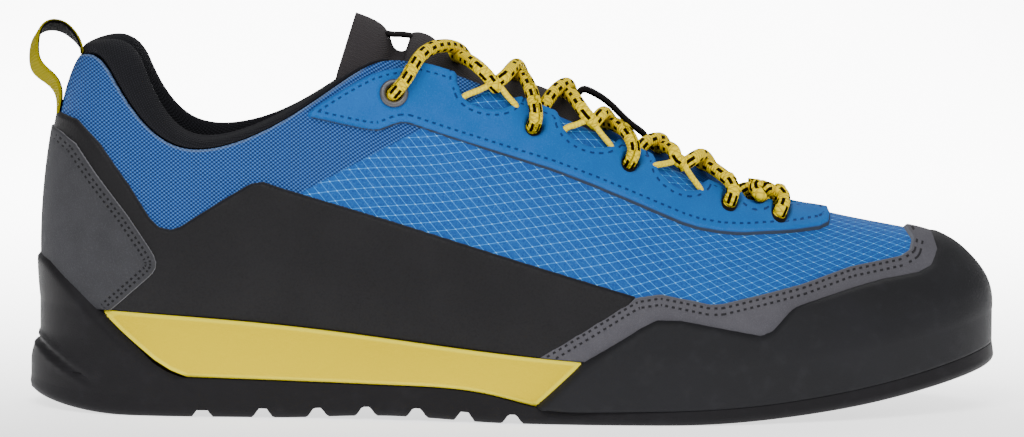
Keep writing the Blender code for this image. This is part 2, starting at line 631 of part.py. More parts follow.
def build_outsole(group, cutters):
    rings = []
    for s in STATIONS:
        ring = []
        for side in (OUTER, INNER):
            reach = float(rib(side, s).sole)
            top = outline_point(side, s, reach - 0.6, outsole_top)
            edge = outline_point(side, s, reach, lambda x: tread(x) + 2.0)
            low = outline_point(side, s, reach - 2.0, tread)
            ring += [low, edge, top] if side == OUTER else [top, edge, low]
        rings.append(ring)
    outsole = to_object("outsole", loft(rings), group, BLACK_RUBBER)
    wrap_outline = shifted(WRAP_EDGE, -GAP / 2 - 0.05) + [Corner(-90, 2), Corner(-165, 2)]
    wrap = build_overlay("heel_wrap", wrap_outline, WRAP_THICK, cutters, cutters, None, band_grid(-1.0))
    add_boolean(outsole, "UNION", wrap)
    add_boolean(outsole, "DIFFERENCE", build_tread_slots(cutters))


def build_tongue(group):
    rows = np.array(TONGUE, float)
    knots = np.arange(len(rows))
    along = np.linspace(0.0, len(rows) - 1.0, 19)
    table = spline(knots, rows)
    middle = table(along)
    run = np.gradient(middle[:, :2], axis=0)
    run /= np.linalg.norm(run, axis=1, keepdims=True)
    rings = []
    for (x, z, half, drop, thick), (dx, dz) in zip(middle, run):
        top, under = [], []
        for share in np.linspace(-1.0, 1.0, 7):
            slope = -2 * drop * share / half
            lean = 1.0 / math.hypot(1.0, slope)
            depth = thick * (1.0 - 0.6 * share ** 4)
            y, fall = share * half, drop * share * share
            top.append((x - dz * fall, y, z + dx * fall))
            y_low, fall_low = y + depth * slope * lean, fall + depth * lean
            under.append((x - dz * fall_low, y_low, z + dx * fall_low))
        rings.append(top + under[::-1])
    to_object("tongue", loft(rings), group, BLACK_FABRIC)


def build_collar(group):
    """Padded cuff inside the collar edge, from one top eyelet around the heel to the other."""
    stations = STATIONS[STATIONS <= COLLAR[-1].station]
    columns = [(OUTER, s) for s in stations[::-1]] + [(INNER, s) for s in stations[1:]]
    table = spline([row.station for row in COLLAR], np.array(COLLAR, float)[:, 1:])
    rings = []
    for side, s in columns:
        forward, up, thick, start = table(s)
        stand = np.array([forward, 0.0, up])
        out = -(WALL + 2 * GAP)
        edge = lifted(side, s, np.array(1.0), out)
        inward = -body_normal(side, s, np.array(1.0))
        low, mid = np.array(start), np.array((1.0 + start) / 2)
        rings.append([
            lifted(side, s, low, out), lifted(side, s, mid, out), edge,
            edge + stand * 0.45 - inward * 0.15 * WALL,
            edge + stand * 0.85 + inward * 0.1 * thick,
            edge + stand + inward * 0.5 * thick,
            edge + stand * 0.7 + inward * thick,
            lifted(side, s, mid, out - thick), lifted(side, s, low, out - 0.8)])
    to_object("collar_padding", loft(rings), group, BLACK_FABRIC)


def build_eyelet(name, side, group):
    """Ring eyelet: a barrel through the eyestay and the upper, with a flange outside."""
    row = LACE_ROWS[0]
    station, height = locate(side, row.x, row.z)
    seat = Vector(lifted(side, station, height, OVERLAY_THICK + 2 * GAP))
    axis = Vector(body_normal(side, station, height))
    turn = Vector((0, 0, 1)).rotation_difference(axis).to_matrix()
    barrel = HOLE_RADIUS - GAP
    profile = (
        (barrel - 0.5, -3.9), (barrel, -3.9), (barrel, 0.15), (4.3, 0.15), (3.8, 1.0), (barrel, 0.8))
    rings = []
    for angle in np.linspace(0.0, 2 * math.pi, 10, endpoint=False):
        spoke = Vector((math.cos(angle), math.sin(angle), 0.0))
        rings.append([seat + turn @ (spoke * radius + Vector((0, 0, up))) for radius, up in profile])
    to_object(name, loft(rings, closed=True), group, GREY_METAL)


def lace_span(side, index):
    """Middle line of one lace leg, from a row on one side over a crossing to the next row opposite."""
    first, second = LACE_ROWS[index], LACE_ROWS[index + 1]
    crossing = CROSSINGS[index]
    rim = EYELET_RIM if index == 0 else 0.0
    path = [side_point(side, first, lace_lift(first) + rim)]
    over = 0.5 * side
    over_edge = lace_lift(LACE_ROWS[0]) + LACE_CLEAR
    path.append(throat_point(side, 0.7 * first.x + 0.3 * crossing.x, over_edge))
    path.append(np.array([crossing.x, 0.5, crossing.z + over]))
    path.append(throat_point(-side, 0.7 * second.x + 0.3 * crossing.x, over_edge))
    path.append(side_point(-side, second, lace_lift(second)))
    return path


def build_lace(group, cutters):
    legs = bpy.data.collections.new("lace_legs")
    cutters.children.link(legs)
    first = None
    for index in range(len(CROSSINGS)):
        for side, label in ((OUTER, "outer"), (INNER, "inner")):
            name = f"lace_leg_{index}_{label}"
            bm = tube(name, lace_span(side, index), LACE_RADIUS, cutters, 6)
            if first is None:
                first = to_object("lace", bm, group, YELLOW_CORD)
            else:
                to_object(name, bm, legs)
    add_boolean(first, "UNION", legs)


def build_cords(group, cutters):
    for side, label in ((OUTER, "outer"), (INNER, "inner")):
        for index, row in enumerate(LACE_ROWS):
            if not row.reach:
                continue
            lift = OVERLAY_THICK + 2 * GAP + CORD_RADIUS + 0.2
            rear = Corner(row.x - row.reach, row.z + 0.45 * row.reach - 2.5)
            front = Corner(row.x + row.reach, row.z - 0.45 * row.reach - 2.5)
            top = side_point(side, row, lace_lift(row) + LACE_RADIUS + GAP + CORD_RADIUS + 0.6)
            path = [side_point(side, rear, lift), top, side_point(side, front, lift)]
            bm = tube(f"cord_{index}", path, CORD_RADIUS, cutters, 5)
            to_object(f"lace_cord_{label}_{index}", bm, group, YELLOW_CORD)


def build_shoe():
    clear_scene()
    shoe = make_collection("approach_shoe")
    cutters = make_collection("cutters", hidden=True)
    holes = build_holes(cutters)
    build_outsole(shoe, cutters)
    build_midsole(shoe)
    build_upper(shoe, holes)
    build_insole(shoe)
    build_overlays(shoe, cutters, holes)
    build_tongue(shoe)
    build_collar(shoe)
    build_eyelet("eyelet_outer", OUTER, shoe)
    build_eyelet("eyelet_inner", INNER, shoe)
    build_lace(shoe, cutters)
    build_cords(shoe, cutters)
    ribbon("pull_loop", PULL_LOOP, 10.0, 1.4, shoe, YELLOW_CORD, 20, LOOP_LEAN)
    ribbon("tongue_keeper_mid", KEEPER_MID, 8.0, 1.2, shoe, BLACK_FABRIC, 12)
    ribbon("tongue_keeper_top", KEEPER_TOP, 10.0, 1.2, shoe, BLACK_FABRIC, 5)


build_shoe()
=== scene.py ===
"""Looks of the right hiking shoe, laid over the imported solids.

The tables are in millimetres and the scene is in metres. The toe points along +X, the outer side of
the foot faces -Y and the floor is Z = 0. Every piece follows a last that is close to the one of the
solids.
"""

import math
from collections import namedtuple

import bmesh
import bpy
import numpy as np
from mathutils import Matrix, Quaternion, Vector


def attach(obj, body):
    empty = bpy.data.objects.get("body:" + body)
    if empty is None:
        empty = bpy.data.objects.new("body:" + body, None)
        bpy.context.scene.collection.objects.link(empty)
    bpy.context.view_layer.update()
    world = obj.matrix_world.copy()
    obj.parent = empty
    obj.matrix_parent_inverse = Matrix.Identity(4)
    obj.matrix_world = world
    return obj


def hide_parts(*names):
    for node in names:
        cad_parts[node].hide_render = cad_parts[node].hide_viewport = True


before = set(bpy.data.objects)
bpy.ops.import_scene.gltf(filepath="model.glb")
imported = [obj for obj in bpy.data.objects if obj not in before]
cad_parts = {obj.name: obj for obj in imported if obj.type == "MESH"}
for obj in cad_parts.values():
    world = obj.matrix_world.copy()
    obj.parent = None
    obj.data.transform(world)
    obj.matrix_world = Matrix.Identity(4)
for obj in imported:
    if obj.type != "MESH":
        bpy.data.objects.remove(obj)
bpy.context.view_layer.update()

MM = 0.001
UP = np.array([0.0, 0.0, 1.0])
OUTER, INNER = -1, 1  # the two sides of the foot, as the sign of Y
SIDES = (OUTER, INNER)
SIDE_NAMES = {OUTER: "outer", INNER: "inner"}

# Sizes of a shoe of European size 42
SOLE_LENGTH = 300.0
TOE_SPRING, SPRING_START = 13.5, 48.0
HEEL_BEVEL, BEVEL_START = 4.6, -118.0
ARCH_LIFT, ARCH_FROM, ARCH_TO = 1.2, -75.0, 0.0
GAP = 0.3  # room between two pieces
WALL = 2.0
INSOLE_THICK, INSOLE_ROUND = 4.0, 0.8
FOAM_BULGE, FOAM_ROUND = 0.5, 0.35  # the midsole's wall bulges in its middle and draws in at its edges
FILM_THICK, FILM_SOFT = 0.8, 1.3  # of a panel, with the width over which its edge falls off
OVERLAY_THICK, OVERLAY_SOFT = 1.5, 0.9
GUARD_THICK = 0.9
RAND_THICK, WRAP_THICK, RUBBER_SOFT = 3.0, 2.6, 2.8
RIM_WIDTH, RIM_DEPTH = 1.1, 0.6  # hidden rim of a panel, sunk into what is below it
SKIN = 1.0  # thickness of a panel's sheet
LEDGE_FADE = 0.16  # share of the upper's height over which the midsole's ledge fades out
WRAP_LIFT, WRAP_INSET = 2.2, 0.25  # heel wrap's lower edge: above the tread, inside the outsole's side
MERGE_FROM, MERGE_RANGE = 24.0, 10.5  # the heel wrap flares out to the outsole below this height
THINNING = 0.5  # share of its thickness that the toe rand loses over the toe
THIN_X, THIN_X_RANGE = 100.0, 20.0
THIN_Z, THIN_Z_RANGE = 34.0, 14.0
LACE_RADIUS = 2.1
CORD_RADIUS = 0.95
HOLE_RADIUS = 2.8
EYELET_WALL, EYELET_RADIUS, EYELET_MIDDLE = 0.3, 4.4, 3.5
CREST_Y = -3.0  # the crossings lie a little to the outer side
TOP_STRAND, LOW_STRAND = (0.9, 0.4), (0.6, 2.8)  # X shift and depth of the two strands at a crossing
SLACK_OUT, SLACK_BACK = 1.2, 0.8  # of the lace over the outer throat edge
LACE_LIFT = GAP + LACE_RADIUS + 0.2  # height of the lace's middle above the upper at a cord loop
ABOVE_ALL = 130.0  # height above the whole shoe
LOOP_LEAN = (-0.31, -0.48)  # X and Z shift of the pull loop per unit of Y, where it leans most
LUG_GROOVES = (
    -126.5, -110.8, -95.2, -76.5, -59.6, -44.6, -28.9, -14.3, 0.4, 15.4, 30.5, 46.2, 61.9, 77.6, 93.3)
LUG_DEPTH = 3.0
SLOT, SLOT_SPREAD, SLOT_DRAFT, SLOT_END = 4.0, 1.2, 2.0, 0.5  # a groove's width, and how its walls slope
WAIST_FROM, WAIST_TO = -100.0, 5.0
HEEL_SLOT, WAIST_SLOT, BALL_SLOT = 22.0, 90.0, 34.0  # half the length of a groove across the sole
SPINE_FROM, SPINE_TO, SPINE_DEPTH = -134.0, 62.0, 2.6  # groove along the middle of the sole
SOLE_ROUND, SOLE_DRAFT = 2.0, 0.6  # radius of the outsole's lower edge, and how far its side leans in

# Steps and fineness
PLAN_STEP = 0.5  # along the foot line, for its direction
STEP_ALONG, STEP_UP = 0.4, 0.01  # over a surface, for its normal
SEARCH_COLUMNS, SEARCH_ROWS = 240, 160  # of the points among which a spot is looked up
EDGE_SAMPLES = 300  # of the throat edge
PATH_SAMPLES = 60  # for each point of a cord's path
WELD, SLIVER = 1e-6, 1e-7  # metres under which corners are merged and edges are dissolved
FAR = 1000.0  # distance given to points beyond the ends of a seam
SLAB_ROWS = 9  # from the middle line of a slab to its wall
TAPE_COLUMNS = 13
TAPE_FLAT, TAPE_ROUND = 0.86, 0.0197  # flat share of a tape, and squared share of its round edge
LEAN_RISE = 0.7  # how soon a tape starts to lean


def table(kind, *rows):
    """Rows of numbers as named tuples of one kind."""
    return tuple(kind(*row) for row in rows)


# Sections across the last: a rib's foot, its top, how it bulges, and how far the soles stand out below it
Section = namedtuple(
    "Section", "foot_x foot_y top_x top_y top_z flare rise reach drop ledge sole")
HEEL_BACK = Section(-144.5, 0.0, -134.6, 0.0, 109.0, 3.5, 28.0, 6.2, 6.0, 0.0, 6.0)
TOE_TIP = Section(147.2, 7.0, 118.0, 2.0, 56.2, 1.8, 11.5, 22.0, 1.0, 0.3, 4.2)
OUTER_SECTIONS = table(
    Section,
    (-138.0, -18.5, -129.0, -13.5, 109.3, 3.5, 28.0, 7.0, 11.0, 0.3, 5.0),
    (-122.0, -29.5, -121.0, -24.0, 99.0, 3.0, 26.0, 4.0, 18.0, 1.2, 4.0),
    (-98.0, -34.0, -102.5, -31.0, 83.0, 3.0, 20.0, 1.5, 18.0, 2.0, 3.2),
    (-70.0, -35.5, -71.0, -31.5, 91.2, 2.5, 20.0, 3.0, 18.0, 2.2, 3.0),
    (-42.0, -38.5, -47.0, -28.5, 106.8, 2.0, 22.0, 6.0, 20.0, 2.2, 3.0),
    (-14.0, -43.5, -27.0, -25.5, 108.3, 1.5, 22.0, 10.0, 18.0, 2.2, 3.0),
    (12.0, -47.5, 5.0, -22.0, 96.3, 1.5, 20.0, 14.0, 14.0, 1.6, 3.4),
    (38.0, -48.5, 35.0, -17.5, 82.8, 1.5, 17.0, 17.0, 11.0, 0.8, 4.0),
    (64.0, -46.5, 62.0, -13.5, 70.0, 1.5, 15.0, 18.0, 8.0, 0.5, 4.2),
    (88.0, -40.0, 82.0, -8.5, 63.4, 1.5, 14.0, 17.0, 4.0, 0.5, 4.2),
    (108.0, -33.0, 91.0, 0.5, 61.8, 1.5, 13.0, 17.0, 1.0, 0.5, 4.2),
    (125.5, -23.5, 102.0, 1.0, 59.8, 1.5, 12.0, 18.0, 1.0, 0.4, 4.0),
    (140.5, -11.0, 111.0, 1.5, 57.8, 1.5, 12.0, 19.0, 1.0, 0.3, 3.8),
)
INNER_SECTIONS = table(
    Section,
    (-138.0, 18.5, -129.0, 13.5, 109.6, 3.5, 28.0, 7.0, 11.0, 0.3, 5.0),
    (-122.0, 29.0, -121.0, 24.0, 99.4, 3.0, 26.0, 4.0, 18.0, 1.2, 4.0),
    (-98.0, 32.5, -102.5, 30.0, 83.2, 3.0, 20.0, 1.5, 18.0, 2.0, 3.2),
    (-70.0, 31.5, -71.0, 30.0, 88.0, 2.5, 20.0, 3.0, 18.0, 2.2, 3.0),
    (-42.0, 29.5, -47.0, 27.5, 104.0, 2.0, 22.0, 6.0, 20.0, 2.2, 3.0),
    (-14.0, 31.0, -27.0, 25.5, 103.4, 1.5, 22.0, 8.0, 18.0, 2.2, 3.0),
    (12.0, 36.5, 5.0, 22.5, 91.6, 1.5, 20.0, 11.0, 14.0, 1.6, 3.4),
    (38.0, 44.0, 35.0, 18.5, 78.6, 1.5, 18.0, 15.0, 11.0, 0.8, 4.0),
    (64.0, 48.5, 62.0, 15.0, 67.2, 1.5, 17.0, 18.0, 8.0, 0.5, 4.2),
    (88.0, 46.5, 82.0, 9.5, 63.0, 1.5, 16.0, 18.0, 4.0, 0.5, 4.2),
    (108.0, 41.0, 91.0, 0.5, 61.8, 1.5, 14.0, 18.0, 1.0, 0.5, 4.2),
    (125.5, 34.0, 102.0, 1.0, 59.8, 1.5, 13.0, 18.0, 1.0, 0.4, 4.0),
    (140.5, 24.5, 111.0, 1.5, 57.8, 1.5, 12.0, 19.0, 1.0, 0.3, 3.8),
)
LAST_STATION = len(OUTER_SECTIONS) + 1
THROAT_TOP, THROAT_FRONT = 6, 11
RIDGE_FROM = THROAT_FRONT - 1e-6  # from this station on the two sides meet on a ridge

Height = namedtuple("Height", "x z")
FOOTBED = table(
    Height, (-148, 33.4), (-100, 31.3), (-57, 27.6), (-20, 23.4), (20, 19.6), (60, 17.7), (100, 20.0),
    (125, 24.5), (150, 31.0))
OUTSOLE_TOP = table(
    Height, (-152, 12.5), (-101, 12.1), (-35, 10.6), (-6, 8.4), (8, 5.2), (28, 4.3), (50, 4.6),
    (80, 6.2), (110, 10.4), (130, 14.6), (152, 20.5))

# Side-view lines between the overlays, from the heel towards the toe
Corner = namedtuple("Corner", "x z")
WRAP_EDGE = table(
    Corner, (-165, 51.0), (-147, 48.8), (-143, 47.8), (-141, 46.8), (-138.8, 44.7), (-136.2, 42.1),
    (-133.8, 39.8), (-129.8, 35.4), (-125, 30.5), (-120, 25.9), (-115, 21.7), (-110, 17.6),
    (-105, 14.5), (-100, 12.5), (-93, 8.0))
COUNTER_EDGE = table(
    Corner, (-165, 90.0), (-146, 88.5), (-139, 86.4), (-133.8, 83.1), (-127.2, 74.0), (-117.7, 62.0),
    (-111.2, 52.6), (-109.6, 50.0), (-108.9, 48.0), (-109.0, 46.0), (-110.0, 44.2), (-111.6, 42.6),
    (-120.8, 34.2), (-124.0, 31.3))
QUARTER_EDGE = table(
    Corner, (-165, 96.0), (-146, 92.5), (-134.5, 90.3), (-127.2, 83.6), (-117.7, 70.8), (-111.6, 61.4),
    (-108.7, 58.6), (-105.1, 57.8), (-102.3, 58.7), (-86.9, 68.5), (-80.5, 72.2), (-76.5, 72.8),
    (-70.5, 70.8), (-34.6, 60.6), (38.1, 39.1))
MUDGUARD_EDGE = table(
    Corner, (-2, 15.0), (8.5, 21.1), (32.9, 35.9), (38.1, 38.8), (45.6, 39.8), (60.8, 36.6),
    (64.5, 36.6), (89, 41.6), (104.6, 46.1), (120.7, 48.7), (123.6, 50.2), (124.5, 53.0), (122.4, 56.0),
    (118.8, 58.8), (114, 68.0))
RAND_EDGE = table(
    Corner, (4.5, 2.5), (9.3, 7.2), (21.7, 18.9), (39.1, 30.0), (44.3, 32.5), (51.8, 32.3),
    (76.4, 27.4), (79.6, 28.6), (84.4, 33.6), (86.4, 35.2), (89.4, 36.2), (114.1, 42.6), (125.6, 44.4),
    (129.0, 46.0), (130.6, 49.6), (129.6, 52.8), (126.0, 56.4), (119.5, 68.0))
WRAP_OUTLINE = (*WRAP_EDGE, Corner(-90, -2), Corner(-165, -2))
RAND_OUTLINE = (*RAND_EDGE, Corner(170, 68), Corner(170, -6), Corner(4.5, -6))
EYESTAY_EDGE = table(
    Corner, (-62.2, 92.4), (-53.1, 90.5), (-46.8, 89.2), (-43.4, 88.7), (-40.8, 88.7), (-36.4, 90.4),
    (-34.2, 91.0), (-32.2, 90.9), (-19.3, 86.6), (11.7, 76.7), (24.4, 71.8), (36.9, 66.5), (51.9, 60.0),
    (57.0, 58.3), (64.3, 56.9), (72.1, 56.3), (83.0, 56.2), (95.5, 56.5), (98.6, 57.6), (99.2, 60.0),
    (95, 68.0))
EYESTAY_REAR = table(
    Corner, (-31.4, 130), (-31.8, 107.6), (-35.0, 107.6), (-39.2, 107.0), (-43.3, 105.8),
    (-47.0, 104.0), (-51.2, 101.7), (-55.8, 98.9), (-59.0, 96.9), (-61.6, 95.1), (-62.8, 93.9),
    (-62.9, 92.9))
Scallop = namedtuple("Scallop", "rear_x rear_z front_x front_z depth")
SCALLOPS = table(
    Scallop,
    (70.8, 69.2, 79.5, 67.0, 4.0),
    (44.2, 78.0, 59.6, 72.4, 5.6),
    (14.7, 91.3, 32.9, 86.5, 5.9),
    (-16.2, 101.0, 1.1, 98.7, 4.9),
)

# Tongue and padded collar
TongueRow = namedtuple("TongueRow", "x z half drop thick")
TONGUE = table(
    TongueRow, (85, 58.0, 6.0, 0.8, 1.6), (74, 63.4, 11.0, 2.5, 2.4), (60, 73.9, 15.0, 7.0, 3.0),
    (45, 79.7, 18.5, 9.2, 3.4), (29, 87.0, 20.5, 11.5, 3.8), (13, 97.8, 21.0, 14.0, 4.2),
    (0, 101.6, 21.0, 13.8, 4.6), (-14, 105.8, 20.5, 13.2, 5.0), (-28, 112.0, 20.3, 13.0, 5.0),
    (-33, 110.9, 20.3, 13.4, 3.6), (-37, 111.7, 20.2, 14.0, 3.6), (-40, 118.0, 20.0, 17.0, 4.8),
    (-49, 122.6, 19.5, 22.0, 4.0))
TONGUE_LEAN = math.radians(17)  # the tongue's sides fall back at this angle from straight down
PAD_HEIGHT = 4.2  # raised pad across the tongue below its top
PAD_REAR, PAD_REAR_SLOPE = -33.8, 2.4
PAD_FRONT, PAD_FRONT_SLOPE = -16.5, 10.0
CollarRow = namedtuple("CollarRow", "station forward up thick start")
COLLAR = table(
    CollarRow, (0.0, 2.2, 8.0, 8.0, 0.62), (1.0, 4.2, 8.0, 7.5, 0.62), (2.0, 4.6, 7.4, 7.0, 0.62),
    (3.0, 2.0, 4.4, 6.0, 0.62), (4.0, 0.0, 3.3, 4.5, 0.7), (5.0, 0.0, 2.0, 2.4, 0.88),
    (5.5, 0.0, 1.6, 2.0, 0.93))
RollRow = namedtuple("RollRow", "stand cover inward")
COLLAR_ROLL = table(  # shares of how far the roll stands up, covers the edge and reaches inwards
    RollRow, (0.1, 0.85, 0.0), (0.4, 1.0, 0.0), (0.82, 0.0, 0.08), (1.0, 0.0, 0.5), (0.7, 0.0, 1.0))
COLLAR_COVER, COVER_LOSS, COVER_TO = 2.3, 2.0, 4.0  # it covers less from this station on
COLLAR_FOOT = 0.8  # thickness of the collar at its lower end

# Lacing: rows of holes and cord loops on the side, and the crossings on the middle line
LaceRow = namedtuple("LaceRow", "x z hole")
LACE_ROWS = table(
    LaceRow, (-36.6, 99.5, True), (-6.5, 100.8, False), (6.6, 89.4, True), (23.5, 88.6, False),
    (36.3, 78.0, True), (51.0, 75.9, False), (67.4, 65.5, True), (75.5, 65.2, False), (83.1, 61.6, True))
LACE_HOLES = [(row.x, row.z) for row in LACE_ROWS if row.hole]
LaceStep = namedtuple("LaceStep", "dx dz lift")  # from a row of the lacing
EYELET_STEPS = table(LaceStep, (0.0, 0.0, -2.5), (0.0, 0.0, 2.0), (2.6, 3.2, 4.3))
LOOP_STEPS = table(LaceStep, (-1.3, 1.6, 1.4), (0.2, -0.7, 0.5), (1.7, 1.2, 0.0))
HOLE_STEPS = table(LaceStep, (0.0, 1.5, 4.0), (0.0, 0.0, 1.4), (0.0, 0.0, -3.5))
CROSSINGS = table(
    Corner, (-18.0, 111.9), (0.6, 106.9), (15.8, 101.1), (28.6, 91.3), (45.2, 84.0), (58.8, 78.8),
    (74.6, 68.6), (81.6, 66.6))
CordLoop = namedtuple("CordLoop", "row rear_x rear_z front_x front_z")
CORD_LOOPS = table(
    CordLoop, (1, -15.0, 98.6, 0.4, 95.0), (3, 16.2, 88.2, 30.0, 82.6), (5, 43.4, 76.0, 58.2, 68.6))

# Webbing paths on the middle line
PULL_LOOP = table(
    Corner, (-141.4, 87.6), (-141.6, 90.4), (-141.4, 92.9), (-141.7, 97.6), (-143.1, 100.2),
    (-146.2, 102.9), (-148.5, 105.5), (-149.2, 108.6), (-149.0, 112.4), (-147.8, 115.8),
    (-145.3, 117.8), (-142.8, 118.1), (-140.1, 117.4), (-137.4, 115.4), (-135.2, 112.6), (-134.0, 109.6))
KEEPER_MID = table(
    Corner, (19.6, 94.4), (20.4, 97.4), (21.9, 98.8), (24.4, 98.2), (27.5, 96.5), (31.2, 93.6),
    (34.7, 90.1), (38.4, 87.0), (41.4, 84.4), (42.4, 81.8))
KEEPER_TOP = table(
    Corner, (-40.5, 116.4), (-38.0, 115.8), (-34.6, 115.7), (-30.6, 114.9), (-28.0, 113.6))

# Soft creases of the fabric on both sides, and a moulded groove of the heel rubber; depth is inward
Crease = namedtuple("Crease", "x0 z0 x1 z1 width depth")
CREASES = table(
    Crease,
    (-96, 76, -78, 66, 5.0, 0.7),
    (-60, 84, -38, 70, 6.0, 0.6),
    (52, 52, 66, 42, 5.0, 0.6),
    (64, 55, 80, 45, 6.0, 0.8),
    (84, 54, 98, 47, 6.0, 0.5),
    (-125, 92, -112, 78, 5.0, 0.5),
)
GROOVES = (Crease(-153, 24.0, -128.5, 9.8, 0.9, 1.1),)
RIDGE_SHARE, RIDGE_AWAY = 0.35, 1.7  # a crease raises low ridges on both sides of it
CREASE_END, CREASE_FADE = 0.02, 0.6  # how a crease fades out towards its ends


# The last, worked out from the sections
def spline(knots, values, period=None):
    """Cubic spline through the rows of values at the knots, closed when a period is given."""
    knots = np.asarray(knots, float)
    values = np.asarray(values, float)
    count = len(knots)
    steps = np.diff(np.append(knots, knots[0] + period)) if period else np.diff(knots)
    system = np.zeros((count, count))
    right = np.zeros_like(values)
    for i in range(count):
        if not period and i in (0, count - 1):
            system[i, i] = 1.0
            continue
        after = (i + 1) % count
        system[i, i - 1] += steps[i - 1]
        system[i, i] += 2.0 * (steps[i - 1] + steps[i])
        system[i, after] += steps[i]
        rise_after = (values[after] - values[i]) / steps[i]
        rise_before = (values[i] - values[i - 1]) / steps[i - 1]
        right[i] = 6.0 * (rise_after - rise_before)
    bend = np.linalg.solve(system, right)

    def at(where):
        where = np.asarray(where, float)
        if period:
            where = knots[0] + (where - knots[0]) % period
        i = np.clip(np.searchsorted(knots, where, side="right") - 1, 0, len(steps) - 1)
        after = (i + 1) % count
        b = (where - knots[i]) / steps[i]
        a = 1.0 - b
        square = steps[i] ** 2 / 6.0
        if values.ndim > 1:
            a, b, square = a[..., None], b[..., None], square[..., None]
        curve = ((a ** 3 - a) * bend[i] + (b ** 3 - b) * bend[after]) * square
        return a * values[i] + b * values[after] + curve

    return at


def running(steps):
    """Running total of steps, from zero."""
    return np.concatenate([[0.0], np.cumsum(steps)])


def unit(vectors):
    return vectors / np.linalg.norm(vectors, axis=-1, keepdims=True)


LOOP = (HEEL_BACK, *OUTER_SECTIONS, TOE_TIP, *reversed(INNER_SECTIONS))
LOOP_FEET = np.array([(row.foot_x, row.foot_y) for row in LOOP])
LOOP_KNOTS = running(np.linalg.norm(np.roll(LOOP_FEET, -1, axis=0) - LOOP_FEET, axis=1))
LOOP_END = LOOP_KNOTS[-1]
TOE_PLACE = LOOP_KNOTS[LAST_STATION]
STATION_OF = np.concatenate([np.arange(LAST_STATION + 1), np.arange(LAST_STATION - 1, -1, -1)])
section_at = spline(LOOP_KNOTS[:-1], np.array(LOOP), LOOP_END)
footbed = spline([row.x for row in FOOTBED], [row.z for row in FOOTBED])
outsole_top = spline([row.x for row in OUTSOLE_TOP], [row.z for row in OUTSOLE_TOP])


def smooth(t):
    t = np.clip(t, 0.0, 1.0)
    return t * t * (3.0 - 2.0 * t)


def tread(x):
    """Height of the underside: flat, with toe spring, a heel bevel and a slight arch."""
    half = SOLE_LENGTH / 2
    spring = np.clip((x - SPRING_START) / (half - SPRING_START), 0, None)
    bevel = np.clip((BEVEL_START - x) / (BEVEL_START + half), 0, None)
    arch = np.sin(math.pi * np.clip((x - ARCH_FROM) / (ARCH_TO - ARCH_FROM), 0, 1))
    return TOE_SPRING * spring ** 2 + HEEL_BEVEL * bevel ** 2 + ARCH_LIFT * arch ** 2


def place_of(side, station):
    """Distance around the foot line of a station on one side, from the heel round the outer side."""
    index = np.arange(LAST_STATION + 1)
    if side == OUTER:
        return np.interp(station, index, LOOP_KNOTS[:LAST_STATION + 1])
    return np.interp(station, index, LOOP_KNOTS[LAST_STATION:][::-1])


def station_at(place):
    return np.interp(place, LOOP_KNOTS, STATION_OF)


def opposite(place):
    """The same station on the other side."""
    station = station_at(place)
    return np.where(place <= TOE_PLACE, place_of(INNER, station), place_of(OUTER, station))


Rib = namedtuple("Rib", "foot lower upper top outward ledge sole")


def rib(place):
    """The Bezier rib of the upper at a place, with its outward direction in plan."""
    place = np.asarray(place, float) % LOOP_END
    row = section_at(place)
    run = unit((section_at(place + PLAN_STEP) - section_at(place - PLAN_STEP))[..., :2])
    outward = np.stack([run[..., 1], -run[..., 0], np.zeros_like(run[..., 0])], axis=-1)
    foot_x, foot_y, top_x, top_y, top_z, flare, rise, reach, drop, ledge, sole = np.moveaxis(row, -1, 0)
    top = np.stack([top_x, top_y, top_z], axis=-1)
    other = section_at(opposite(place))[..., 2:5]
    on_ridge = (station_at(place) >= RIDGE_FROM)[..., None]
    top = np.where(on_ridge, (top + other) / 2, top)
    foot = np.stack([foot_x, foot_y, footbed(foot_x)], axis=-1)
    lower = foot + outward * flare[..., None] + UP * rise[..., None]
    upper = top + outward * reach[..., None] - UP * drop[..., None]
    return Rib(foot, lower, upper, top, outward, ledge, sole)


def body(place, height):
    """Point on the outside of the upper; height runs from 0 at the footbed to 1 at the top edge."""
    r = rib(place)
    b = np.asarray(height, float)[..., None]
    a = 1.0 - b
    return a ** 3 * r.foot + 3 * a * a * b * r.lower + 3 * a * b * b * r.upper + b ** 3 * r.top


def band(place, height):
    """As body, with the wall of the midsole below it where height runs from -1 to 0."""
    r = rib(place)
    height = np.asarray(height, float)
    point = body(place, np.clip(height, 0.0, 1.0))
    point = point + r.outward * (r.ledge * (1.0 - smooth(height / LEDGE_FADE)))[..., None]
    low = outsole_top(point[..., 0] + r.outward[..., 0] * (RAND_THICK + GAP))
    point[..., 2] += np.clip(height, -1.0, 0.0) * (point[..., 2] - low)
    return point


def heel_band(place, height):
    """As band, running down over the side of the outsole so that heel wrap and sole are one form."""
    r = rib(place)
    point = band(place, np.clip(height, 0.0, 1.0))
    low = tread(point[..., 0]) + WRAP_LIFT
    point[..., 2] += np.clip(height, -1.0, 0.0) * (point[..., 2] - low)
    spread = r.sole - WRAP_INSET - r.ledge - GAP - WRAP_THICK
    merge = smooth((MERGE_FROM - point[..., 2]) / MERGE_RANGE)
    return point + r.outward * (spread * merge)[..., None]


def surface_normal(surface, place, height):
    along = surface(place + STEP_ALONG, height) - surface(place - STEP_ALONG, height)
    above, below = np.clip(height + STEP_UP, -1, 1), np.clip(height - STEP_UP, -1, 1)
    return unit(np.cross(along, surface(place, above) - surface(place, below)))


